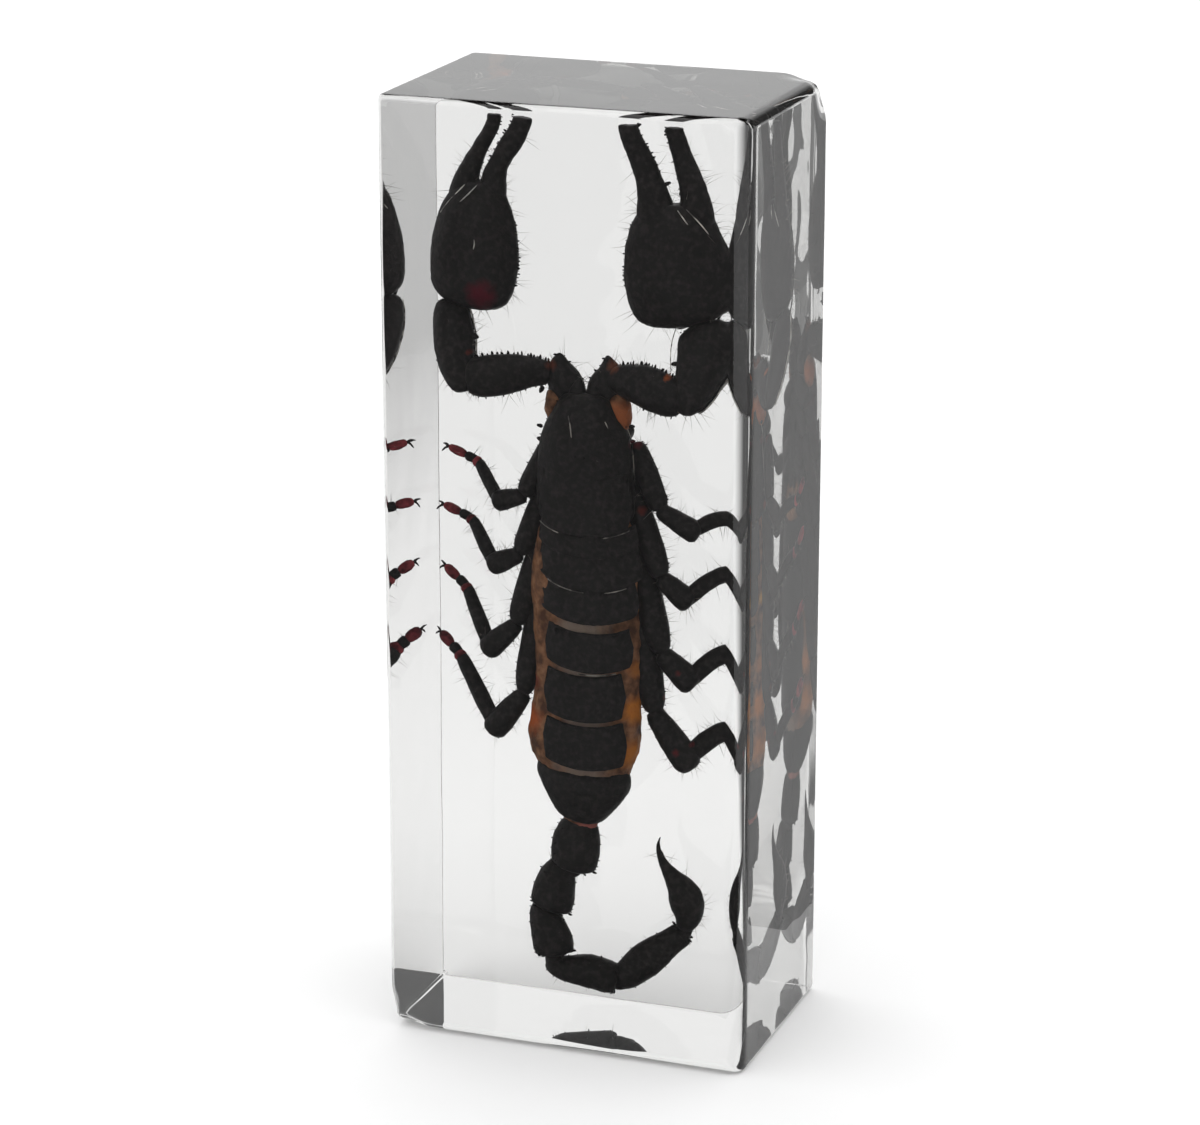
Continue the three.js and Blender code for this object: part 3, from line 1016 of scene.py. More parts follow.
LEFT_PINCER = Pincer(
    side=Side.LEFT,
    trochanter=rings(
        (-2.9, 6.2, 73.2, 1.3, 1.3), (-3.1, 6.0, 74.0, 1.8, 1.7), (-3.6, 5.7, 75.4, 2.1, 2.0),
        (-4.2, 5.3, 76.8, 2.1, 2.0), (-4.5, 5.1, 78.0, 1.5, 1.5), (-4.5, 5.0, 79.0, 0.8, 0.8),
        (-4.4, 4.9, 79.7, 0.2, 0.2),
    ),
    femur=rings(
        (-5.55, 4.9, 77.23, 0.9, 0.9), (-5.93, 4.8, 77.25, 1.4, 1.3), (-6.98, 4.5, 77.28, 1.6, 1.5),
        (-8.21, 4.1, 77.28, 1.9, 1.7), (-9.69, 3.5, 77.07, 2.25, 1.9),
        (-11.64, 2.8, 76.72, 2.45, 2), (-13.62, 2.3, 76.4, 2.4, 2), (-14.76, 2.1, 76.34, 2.1, 1.8),
        (-15.34, 2, 76.26, 1.3, 1.3),
    ),
    patella=rings(
        (-15.34, 1.9, 74.56, 0.8, 0.9), (-15.43, 1.9, 75.16, 1.4, 1.5), (-15.98, 2.1, 76.22, 1.85, 1.8),
        (-16.43, 2.6, 77.52, 2.15, 2), (-16.78, 3.2, 79.01, 2.35, 2.15),
        (-17.03, 3.8, 80.61, 2.5, 2.2), (-17.33, 4.3, 82.15, 2.35, 2.1), (-17.48, 4.6, 83.52, 2.15, 1.9),
        (-17.5, 4.8, 84.3, 1.8, 1.6), (-17.4, 4.8, 84.7, 1.1, 1),
    ),
    hand=rings(
        (-13.9, 4.6, 83.95, 1.3, 0.9), (-14.0, 4.6, 84.2, 2.4, 1.7), (-14.4, 4.5, 84.7, 3.6, 2.3),
        (-14.75, 4.4, 85.6, 4.6, 2.8), (-14.75, 4.4, 87.0, 5.1, 3.2),
        (-14.55, 4.3, 89.2, 5.3, 3.3), (-14.5, 4.2, 91.2, 5.25, 3.3), (-14.35, 4.2, 93.2, 4.95, 3.2),
        (-14.3, 4.2, 95.0, 4.45, 2.9), (-14.25, 4.2, 96.5, 3.85, 2.5),
        (-14.0, 4.3, 97.7, 3.2, 2.1), (-13.8, 4.4, 98.6, 2.4, 1.6), (-13.8, 4.4, 98.9, 1.3, 1.0),
    ),
    movable_finger=rings(
        (-16.3, 4.4, 95.0, 1.5, 1.5), (-16.05, 4.4, 96.6, 1.7, 1.6), (-15.7, 4.4, 98.1, 1.6, 1.5),
        (-15.2, 4.5, 99.5, 1.33, 1.3), (-14.7, 4.5, 100.8, 1.1, 1.15),
        (-14.05, 4.6, 102.0, 0.95, 1.0), (-13.4, 4.6, 103.2, 0.88, 0.92),
        (-12.7, 4.8, 104.4, 0.85, 0.85), (-12.35, 4.9, 105.3, 0.83, 0.82),
        (-12.2, 4.9, 105.9, 0.82, 0.8), (-12.2, 4.9, 106.2, 0.82, 0.78), (-12.2, 4.9, 106.3, 0.7, 0.6),
    ),
    fixed_finger=rings(
        (-12.6, 4.3, 95.6, 1.6, 1.6), (-12.3, 4.3, 97.6, 1.7, 1.55), (-12.15, 4.3, 99.1, 1.5, 1.4),
        (-11.8, 4.3, 100.4, 1.22, 1.25), (-11.3, 4.3, 101.3, 1.12, 1.2),
        (-10.7, 4.3, 102.3, 1.17, 1.15), (-10.0, 4.4, 103.3, 1.3, 1.1),
        (-9.45, 4.4, 104.2, 1.2, 1.05), (-9.0, 4.5, 105.1, 1.15, 1.0), (-8.8, 4.6, 105.8, 1.18, 0.95),
        (-8.75, 4.6, 106.1, 1.18, 0.9), (-8.75, 4.6, 106.2, 1.0, 0.7),
    ),
    spurs=[(Vector((-15.3, 3.8, 81.1)), Vector((1, 0, -0.25)), 1.5),
           (Vector((-15.1, 3.4, 79.8)), Vector((1, 0, -0.4)), 0.9),
           (Vector((-6.4, 5.0, 75.6)), Vector((-0.7, 0, -1)), 1.1)],
    seams=[((-17.1, 2.3, 95.0), (-16.0, 1.9, 96.2), (-14.8, 2.0, 97.3), (-13.6, 2.4, 98.6)),
           ((-18.4, 2.9, 94.8), (-17.4, 2.6, 96.2), (-16.2, 2.7, 97.4), (-15.2, 2.8, 98.5)),
           ((-13.9, 0.95, 91.2), (-13.7, 0.95, 91.9), (-13.8, 0.95, 92.5))],
    rims=(42.0, 56.0, -63.0),
)

RIGHT_PINCER = Pincer(
    side=Side.RIGHT,
    trochanter=rings(
        (0.0, 6.2, 73.2, 1.3, 1.3), (0.1, 6.0, 74.0, 1.8, 1.7), (0.6, 5.7, 75.4, 2.1, 2.0),
        (1.3, 5.3, 76.8, 2.1, 2.0), (1.5, 5.1, 78.0, 1.5, 1.5), (1.4, 5.0, 79.1, 0.8, 0.8),
        (1.2, 4.9, 79.9, 0.2, 0.2),
    ),
    femur=rings(
        (1.44, 4.9, 77.13, 1, 1), (1.87, 4.8, 77.15, 1.5, 1.4), (3.01, 4.5, 77.18, 1.8, 1.6),
        (4.45, 4.1, 77.07, 2.2, 1.8), (6.06, 3.6, 76.9, 2.5, 2), (7.46, 3, 76.49, 2.55, 2.1),
        (8.87, 2.5, 76.17, 2.35, 2), (10.13, 2.2, 75.82, 2.1, 1.8), (10.84, 2.1, 75.64, 1.3, 1.3),
    ),
    patella=rings(
        (10.79, 1.8, 74.28, 0.8, 0.9), (10.99, 1.8, 74.98, 1.4, 1.5), (11.42, 2.1, 76.02, 1.95, 1.8),
        (11.87, 2.7, 77.3, 2.4, 2), (12.33, 3.4, 78.78, 2.75, 2.15), (12.58, 4.1, 80.27, 3.05, 2.2),
        (12.73, 4.6, 81.78, 3.2, 2.2), (12.82, 5, 83.14, 3.1, 2), (12.52, 5.2, 84.04, 2.6, 1.7),
        (12.32, 5.2, 84.54, 1.7, 1.1),
    ),
    hand=rings(
        (7.6, 5.4, 83.5, 1.5, 0.9), (7.8, 5.4, 83.8, 2.7, 1.7), (8.6, 5.3, 84.4, 4.1, 2.4),
        (9.3, 5.3, 85.4, 5.4, 3.0), (9.55, 5.3, 86.9, 6.2, 3.4), (9.5, 5.2, 88.7, 6.4, 3.6),
        (9.45, 5.2, 90.5, 6.35, 3.6), (9.3, 5.1, 92.3, 6.05, 3.5), (9.15, 5.0, 94.1, 5.5, 3.2),
        (9.15, 4.9, 95.7, 4.85, 2.8), (9.2, 4.8, 96.9, 4.2, 2.2), (9.2, 4.7, 97.6, 3.2, 1.7),
        (9.1, 4.7, 97.8, 1.8, 1.0),
    ),
    movable_finger=rings(
        (11.9, 4.4, 94.8, 2.0, 1.7), (11.7, 4.4, 96.6, 2.1, 1.7), (11.55, 4.5, 98.1, 1.85, 1.5),
        (11.3, 4.5, 99.5, 1.52, 1.35), (10.85, 4.5, 100.7, 1.42, 1.3),
        (10.5, 4.6, 101.6, 1.35, 1.2), (10.0, 4.7, 102.8, 1.2, 1.1), (9.55, 4.8, 104.0, 1.08, 1.0),
        (9.15, 4.8, 105.2, 1.05, 0.9), (8.95, 4.9, 105.8, 1.08, 0.88), (8.95, 4.9, 106.1, 1.08, 0.85),
        (8.95, 4.9, 106.2, 0.9, 0.65),
    ),
    fixed_finger=rings(
        (7.2, 4.3, 95.0, 2.4, 1.8), (6.95, 4.3, 97.2, 2.25, 1.7), (6.7, 4.3, 98.6, 1.85, 1.6),
        (6.3, 4.3, 99.9, 1.57, 1.45), (5.9, 4.3, 101.0, 1.45, 1.4), (5.5, 4.3, 102.0, 1.45, 1.3),
        (5.0, 4.4, 103.0, 1.3, 1.2), (4.45, 4.5, 104.0, 1.25, 1.1), (3.9, 4.5, 105.1, 1.17, 1.0),
        (3.7, 4.6, 105.8, 1.17, 0.95), (3.65, 4.6, 106.1, 1.17, 0.9), (3.65, 4.6, 106.2, 1.0, 0.7),
    ),
    spurs=[(Vector((10.0, 3.4, 79.9)), Vector((-1, 0, -0.2)), 1.1),
           (Vector((9.7, 4.5, 98.6)), Vector((0.3, 0, 1)), 0.8),
           (Vector((7.9, 4.5, 99.8)), Vector((1, 0, 0.4)), 0.9)],
    seams=[((10.8, 2.4, 97.6), (11.8, 2.2, 96.8), (12.8, 2.3, 95.8), (13.6, 2.5, 94.8)),
           ((9.8, 2.6, 97.4), (10.6, 2.0, 96.6), (11.3, 1.8, 95.8)),
           ((9.8, 3.1, 84.2), (9.2, 2.8, 82.6), (9.1, 2.4, 80.6), (9.4, 1.8, 78.9))],
    rims=(-64.0, -78.0, 56.0),
)


@dataclass
class Plate:
    """One plate, in millimetres.

    Args:
        top, bottom: The heights of its top and its bottom edge.
        x: Its middle.
        half: Its half width.
    """

    top: float
    bottom: float
    x: float
    half: float


@dataclass
class Trunk:
    """The carapace, the soft body, and the plates of the back and the belly.

    Every plate is a slice of one leaning tube. Sizes are in millimetres and angles in degrees.

    Args:
        axis_x: Where the animal's middle line lies.
        lean: How far the slices lean.
        middle_y, wide, thick: The middle, half width and half thickness of their tube.
        wall: How thick a plate is.
        corner, arris: The rounding of its corners and of its edges.
        taper: How far its sides lean inward, beside their height.
        belt_rise: How far above its middle a plate is widest.
        lit_rims: The edges with a painted silvery highlight: the plate's number, and the angles from and
            to.
        rim: Half the thickness of a painted highlight line.
        carapace, skin, last_plate: The rings of those forms.
        neck_skin: The rings of the soft skin at both sides of the carapace.
        back_plates, belly_plates: The plates, from the top down.
        carapace_spurs: The side teeth of the carapace: x, height and direction.
        underside_y: How deep the underside lies.
        back_streaks: Fine silvery streaks on the carapace, painted highlights, each by its points.
        jaw: One jaw's rings, with x outward from the middle line.
    """

    axis_x: float = -1.2
    lean: float = 38.0
    middle_y: float = 4.8
    wide: float = 7.0
    thick: float = 4.2
    wall: float = 0.3
    corner: float = 0.9
    arris: float = 0.07
    taper: float = 0.2
    belt_rise: float = 0.6
    lit_rims: tuple[tuple[int, float, float], ...] = (
        (0, -52, -25), (0, 20, 50), (2, -45, -2), (2, 18, 42), (4, -10, 30),
    )
    rim: float = 0.06
    carapace: list[Ring] = field(default_factory=lambda: rings(
        (-1.2, 4.3, 75.3, 1.8, 1.0), (-1.2, 4.2, 75.0, 2.7, 1.9), (-1.2, 4.1, 74.3, 3.3, 2.6),
        (-1.2, 4.1, 73.2, 3.8, 3.1), (-1.2, 4.1, 71.9, 4.7, 3.4), (-1.2, 4.2, 70.4, 5.3, 3.6),
        (-1.3, 4.3, 68.5, 5.55, 3.75), (-1.35, 4.4, 66.0, 5.75, 3.85), (-1.3, 4.5, 63.5, 5.85, 3.9),
        (-1.2, 4.6, 61.6, 5.85, 3.9), (-1.1, 4.7, 60.6, 5.5, 3.6), (-1.1, 4.8, 60.2, 4.4, 2.6),
    ))
    skin: list[Ring] = field(default_factory=lambda: rings(
        (-1.1, 5.0, 61.8, 4.2, 2.7), (-1.1, 4.9, 60.6, 5.5, 3.3), (-1.2, 4.9, 57.5, 6.2, 3.6),
        (-1.5, 4.9, 53.4, 6.75, 3.75), (-1.2, 4.9, 49.2, 6.5, 3.8), (-0.9, 4.9, 45.0, 6.65, 3.8),
        (-0.95, 4.9, 41.5, 6.45, 3.8), (-1.1, 4.9, 38.0, 6.55, 3.8), (-1.6, 4.9, 34.4, 6.95, 3.75),
        (-1.6, 5.0, 32.3, 6.5, 3.75), (-1.5, 5.0, 30.6, 5.6, 3.65), (-1.7, 5.3, 28.6, 4.6, 3.1),
        (-2.0, 5.8, 26.0, 3.2, 2.4), (-2.1, 6.0, 23.4, 1.9, 1.8), (-2.3, 6.1, 22.0, 1.6, 1.5),
    ))
    neck_skin: tuple[list[Ring], ...] = (
        rings((-5.0, 5.4, 75.6, 0.6, 0.8), (-5.2, 5.3, 74.8, 1.1, 1.3), (-5.3, 5.1, 73.4, 1.15, 1.5),
              (-5.3, 5.0, 72.2, 0.9, 1.3), (-5.2, 5.0, 71.4, 0.4, 0.6)),
        rings((1.9, 5.4, 75.6, 0.8, 0.9), (2.3, 5.2, 74.8, 1.5, 1.5), (2.6, 4.9, 73.4, 1.6, 1.8),
              (3.1, 4.9, 72.0, 1.2, 1.5), (3.4, 5.0, 71.2, 0.5, 0.6)),
    )
    back_plates: tuple[Plate, ...] = (
        Plate(66.0, 59.2, -0.8, 5.7),
        Plate(59.6, 56.6, -0.5, 6.1),
        Plate(57.0, 52.8, -0.35, 6.3),
        Plate(53.2, 48.8, -0.35, 6.0),
        Plate(47.7, 43.0, -0.3, 5.45),
        Plate(42.5, 37.0, -0.8, 5.05),
        Plate(36.45, 31.2, -0.8, 5.2),
    )
    belly_plates: tuple[Plate, ...] = (
        Plate(56.0, 49.8, -1.2, 5.4),
        Plate(50.4, 43.8, -1.1, 5.5),
        Plate(44.4, 37.8, -1.1, 5.5),
        Plate(38.4, 32.0, -1.2, 5.4),
    )
    last_plate: list[Ring] = field(default_factory=lambda: rings(
        (-1.35, 3.7, 31.5, 4.4, 2.6), (-1.35, 3.9, 31.1, 5.4, 3.2), (-1.45, 4.4, 30.0, 5.85, 3.65),
        (-1.6, 5.0, 29.0, 5.65, 3.8), (-1.75, 5.2, 27.6, 4.95, 3.5), (-1.95, 5.5, 26.3, 4.15, 3.1),
        (-2.1, 5.8, 25.1, 3.3, 2.6), (-2.2, 6.0, 24.3, 2.6, 2.2), (-2.25, 6.0, 24.0, 1.6, 1.5),
    ))
    carapace_spurs: tuple[tuple[float, float, float], ...] = (
        (-6.3, 71.0, -1.0), (-6.3, 69.5, -1.0), (3.9, 71.9, 1.0), (4.0, 70.2, 1.0),
        (-4.6, 73.6, -1.0), (2.4, 73.9, 1.0),
    )
    underside_y: float = 8.1
    back_streaks: tuple[tuple[tuple[float, float, float], ...], ...] = (
        ((-2.6, 0.9, 73.2), (-2.3, 0.72, 72.2), (-2.2, 0.62, 71.2), (-2.1, 0.55, 70.6)),
        ((1.7, 1.1, 72.9), (2.2, 0.95, 72.0)),
        ((0.9, 0.42, 68.3), (1.15, 0.42, 68.2)),
    )
    jaw: tuple[tuple[float, float, float, float, float], ...] = (
        (1.0, 4.6, 72.6, 0.8, 1.0), (1.0, 4.3, 73.9, 1.1, 1.3), (1.0, 4.2, 75.2, 1.1, 1.3),
        (0.95, 4.2, 76.0, 0.85, 1.0), (0.8, 4.4, 76.6, 0.45, 0.5), (0.7, 4.6, 77.1, 0.12, 0.15),
    )

    # A slice's rings from its top edge down: the share of its height below the top, how much
    # lower still, and how much wider than the tube. The last ones turn its bottom edge outward.
    SLICE = ((0.0, 0.0, -0.3), (0.0, 0.25, -0.1), (0.5, 0.0, 0.0), (1.0, -0.5, 0.0),
             (1.0, -0.15, 0.1), (1.0, 0.0, 0.08))
    SLICE_SIDES = 48

    # The painted highlight lines: how many stretches one on a plate's edge has and how far it
    # stands off, the angle of the one along the carapace, and half the thickness of a streak.
    RIM_STEPS = 12
    RIM_LIFT = 0.2
    SIDE_LINE = 84
    STREAK = 0.07

    CARAPACE_KEELS = (-14, 14, -50, 50)
    CARAPACE_TEETH = (-90, 90, -75, 75)
    CARAPACE_SPUR_Y = 4.2
    CARAPACE_SPUR_LEAN = (-0.2, 0.25)
    CARAPACE_SPUR = (0.9, 0.45)
    EYE_PLACE = (0.5, 0.85, 68.4)
    EYE = 0.35

    # The leg bases: the height of the inner and of the outer end, and the girth. Each end's x
    # is outward from the middle line and its y beyond the underside. Their shape is the share
    # of the length and the radius there before the girth.
    LEG_BASES = ((72.6, 70.0, 1.5), (69.6, 66.4, 1.5), (66.6, 62.9, 1.6), (64.2, 60.2, 1.7))
    BASE_INNER = (0.9, -0.9)
    BASE_OUTER = (4.7, -1.3)
    BASE_SHAPE = ((0.0, 0.45), (0.06, 0.75), (0.4, 0.95), (0.85, 1.05), (0.96, 0.8), (1.0, 0.4))

    # The other forms of the underside: x outward from the middle line, y beyond the underside.
    # The comb's last tooth stands just short of its end, and each tooth runs inward and down,
    # a little shorter than the one before.
    COMB = ((0.5, 0.1, 59.2), (1.8, 0.1, 58.3), (3.3, -0.1, 57.0), (4.8, -0.5, 55.3))
    COMB_WIDTHS = (0.5, 0.6, 0.5, 0.25)
    COMB_TEETH = 15
    COMB_REACH = 2.99
    COMB_THICKNESS = 0.25
    COMB_TOOTH_WAY = (0.35, 1.3, 0.03)
    COMB_TOOTH = ((0.0, 0.1), (0.3, 0.17), (0.8, 0.17), (1.0, 0.06))
    LID = ((0.9, 0.0, 61.9, 0.3, 0.2), (0.9, 0.1, 61.3, 0.85, 0.4), (0.8, 0.1, 60.4, 0.8, 0.4),
           (0.7, 0.0, 59.8, 0.3, 0.2))
    BREAST_PLATE = ((0.0, -0.2, 66.4, 0.2, 0.3), (0.0, 0.0, 65.4, 0.9, 0.5),
                    (0.0, 0.1, 63.6, 1.2, 0.5), (0.0, 0.0, 62.4, 1.1, 0.4),
                    (0.0, -0.2, 62.1, 0.4, 0.2))

    def build(self, cuticle: bpy.types.Material, skin: bpy.types.Material,
              film: bpy.types.Material, joints: Iterable[Sequence[Ring]]) -> bpy.types.Object:
        """Model the trunk's pieces and dress them.

        Args:
            cuticle: The finish of the plates.
            skin: The finish of the soft skin.
            film: The finish of the painted highlight lines on some edges.
            joints: Runs of soft skin in the joints of the limbs.

        Returns:
            The jaws.
        """
        self.build_carapace(cuticle)
        jaws = self.build_jaws(cuticle)

        clay = Clay("soft_skin")
        clay.tube(self.skin, sides=24)
        for run in (*self.neck_skin, *joints):
            clay.tube(run, sides=10)
        soft = clay.done(levels=3)
        roughen(soft, 1.4, 0.45, 0.6)
        dress(soft, skin)

        dress(self.plates("back_plates", self.back_plates, -1), cuticle)
        dress(self.plates("belly_plates", self.belly_plates, 1), cuticle)

        clay = Clay("last_plate")
        clay.tube(self.last_plate, sides=20)
        for angle in (-30, 30):
            clay.keel(self.last_plate[2:8], angle, 0.22, steps=6)
        last = clay.done()
        granulate(last, 0.1)
        dress(last, cuticle)
        self.build_underside(cuticle)
        self.build_rims(film)
        return jaws

    def build_carapace(self, cuticle: bpy.types.Material) -> None:
        """Model the carapace with its ridges, its teeth and its two eyes, and dress it.

        Args:
            cuticle: Its finish.
        """
        clay = Clay("carapace")
        clay.tube(self.carapace, sides=24)
        for angle in self.CARAPACE_KEELS:
            clay.keel(self.carapace[2:9], angle, 0.3)
        for angle in self.CARAPACE_TEETH:
            clay.teeth(self.carapace, Row(angle, 16, 0.24))
        for x, z, way in self.carapace_spurs:
            foot = Vector((x, self.CARAPACE_SPUR_Y, z)) * MM
            tall, radius = self.CARAPACE_SPUR
            clay.tooth(foot, Vector((way, *self.CARAPACE_SPUR_LEAN)).normalized(), tall * MM,
                       radius * MM)
        out, y, z = self.EYE_PLACE
        for way in (-1, 1):
            bpy.ops.mesh.primitive_uv_sphere_add(
                segments=12, ring_count=8, radius=self.EYE * MM,
                location=Vector((self.axis_x + out * way, y, z)) * MM,
            )
            clay.put_away()
        carapace = clay.done()
        granulate(carapace, 0.1)
        dress(carapace, cuticle)

    def build_jaws(self, cuticle: bpy.types.Material) -> bpy.types.Object:
        """Model the two jaws in one piece and dress them.

        Args:
            cuticle: Their finish.

        Returns:
            The jaws.
        """
        clay = Clay("jaws")
        for way in (-1, 1):
            clay.tube(self.outward(way, self.jaw), sides=10)
        jaws = clay.done()
        granulate(jaws, 0.08)
        dress(jaws, cuticle)
        return jaws

    def outward(self, way: int, rows: Iterable[Sequence[float]], depth: float = 0.0) -> list[Ring]:
        """Rings whose x runs outward from the animal's middle line.

        Args:
            way: -1 to the left, 1 to the right.
            rows: x, y, z, half width and half thickness of each ring.
            depth: What is added to each y.

        Returns:
            The rings.
        """
        return [Ring(self.axis_x + x * way, depth + y, z, wide, thick)
                for x, y, z, wide, thick in rows]

    def plates(self, name: str, plates: Iterable[Plate], facing: int) -> bpy.types.Object:
        """Model a set of overlapping plates in one piece.

        Args:
            name: The name of the piece.
            plates: The plates.
            facing: -1 for the back of the animal, 1 for its belly.

        Returns:
            The piece.
        """
        clay = Clay(name)
        for plate in plates:
            self.add_plate(clay, plate, facing)
        piece = clay.done(levels=0)
        modify(piece, "SOLIDIFY", thickness=self.wall * MM, offset=-1.0)
        modify(piece, "BEVEL", width=self.arris * MM, segments=2, limit_method="ANGLE")
        modify(piece, "SUBSURF", levels=1, render_levels=1, subdivision_type="SIMPLE")
        granulate(piece, 0.1)
        return piece

    def add_plate(self, clay: Clay, plate: Plate, facing: int) -> None:
        """Add one plate: a slice of a leaning tube, cut off at both sides.

        Args:
            clay: The mesh it is added to.
            plate: Its sizes.
            facing: -1 for the back of the animal, 1 for its belly.
        """
        slope = math.radians(self.lean)
        turn = Matrix.Rotation(-slope * facing, 3, "X")
        for share, lower, grow in self.SLICE:
            z = plate.top - (plate.top - plate.bottom) * share - lower
            wide, thick = self.wide + grow, self.thick + grow
            middle = Vector((plate.x, self.middle_y, z + thick * math.tan(slope))) * MM
            clay.ring(middle, turn, wide * MM, thick * MM / math.cos(slope), self.SLICE_SIDES)
        bpy.ops.mesh.select_all(action="SELECT")
        bpy.ops.mesh.bridge_edge_loops()
        belt = (plate.top + plate.bottom) / 2 + self.belt_rise
        cuts = [(((plate.x + way * plate.half) * MM, 0.0, belt * MM), (way, 0.0, lean))
                for way in (-1, 1) for lean in (-self.taper, self.taper)]
        cuts.append(((0.0, self.middle_y * MM, 0.0), (0.0, -facing, 0.0)))
        for point, normal in cuts:
            bpy.ops.mesh.select_all(action="SELECT")
            bpy.ops.mesh.bisect(plane_co=point, plane_no=normal, clear_outer=True)
        mesh = bmesh.from_edit_mesh(clay.piece.data)
        bpy.ops.mesh.select_all(action="DESELECT")
        for vertex in mesh.verts:
            if not vertex.hide and len(vertex.link_faces) == 1:
                vertex.select_set(True)
        bmesh.update_edit_mesh(clay.piece.data)
        bpy.ops.mesh.bevel(offset=self.corner * MM, segments=4, affect="VERTICES")
        clay.put_away()

    def build_underside(self, cuticle: bpy.types.Material) -> None:
        """Model the leg bases, the combs, the lids and the breast plate, and dress them.

        Args:
            cuticle: Their finish.
        """
        clay = Clay("underside")
        for way in (-1, 1):
            self.add_leg_bases(clay, way)
            self.add_comb(clay, way)
            clay.tube(self.outward(way, self.LID, self.underside_y), sides=10)
        clay.tube(self.outward(1, self.BREAST_PLATE, self.underside_y), sides=10)
        piece = clay.done()
        granulate(piece, 0.06)
        dress(piece, cuticle)

    def add_leg_bases(self, clay: Clay, way: int) -> None:
        """Add the four leg bases of one side.

        Args:
            clay: The mesh they are added to.
            way: -1 for the left side, 1 for the right.
        """
        for inner_z, outer_z, girth in self.LEG_BASES:
            start, end = (Vector((self.axis_x + x * way, self.underside_y + y, z)) for (x, y), z in
                          ((self.BASE_INNER, inner_z), (self.BASE_OUTER, outer_z)))
            clay.tube([Ring(*start.lerp(end, share), girth * radius, girth * radius)
                       for share, radius in self.BASE_SHAPE], sides=10)

    def add_comb(self, clay: Clay, way: int) -> None:
        """Add the comb of one side: its shaft and its teeth.

        Args:
            clay: The mesh it is added to.
            way: -1 for the left side, 1 for the right.
        """
        comb = [Vector((self.axis_x + way * x, self.underside_y + y, z)) for x, y, z in self.COMB]
        clay.tube([Ring(*at, wide, self.COMB_THICKNESS)
                   for at, wide in zip(comb, self.COMB_WIDTHS)], sides=8)
        for i in range(self.COMB_TEETH):
            share = i / (self.COMB_TEETH - 1) * self.COMB_REACH
            step = int(share)
            foot = comb[step].lerp(comb[step + 1], share - step)
            inward, down, shorter = self.COMB_TOOTH_WAY
            tip = foot + Vector((-inward * way, 0.0, -down + shorter * i))
            clay.tube([Ring(*foot.lerp(tip, t), radius, radius) for t, radius in self.COMB_TOOTH],
                      sides=6)

    def build_rims(self, film: bpy.types.Material) -> None:
        """Model the painted highlight lines on some plate edges and on the carapace, and dress them.

        Args:
            film: Their finish.
        """
        clay = Clay("plate_rims")
        slope = math.radians(self.lean)
        turn = Matrix.Rotation(slope, 3, "X")
        for number, start, end in self.lit_rims:
            plate = self.back_plates[number]
            middle = Vector((plate.x, self.middle_y, plate.bottom + self.thick * math.tan(slope)))
            points = []
            for i in range(self.RIM_STEPS + 1):
                angle = math.radians(start + (end - start) * i / self.RIM_STEPS)
                front = -(self.thick + self.RIM_LIFT) / math.cos(slope) * math.cos(angle)
                points.append(middle + turn @ Vector((self.wide * math.sin(angle), front, -self.rim)))
            clay.line(points, self.rim)
        clay.keel(self.carapace[2:9], self.SIDE_LINE, self.rim, steps=16, lift=2 * self.rim)
        for streak in self.back_streaks:
            clay.line(streak, self.STREAK)
        dress(clay.done(levels=1), film)


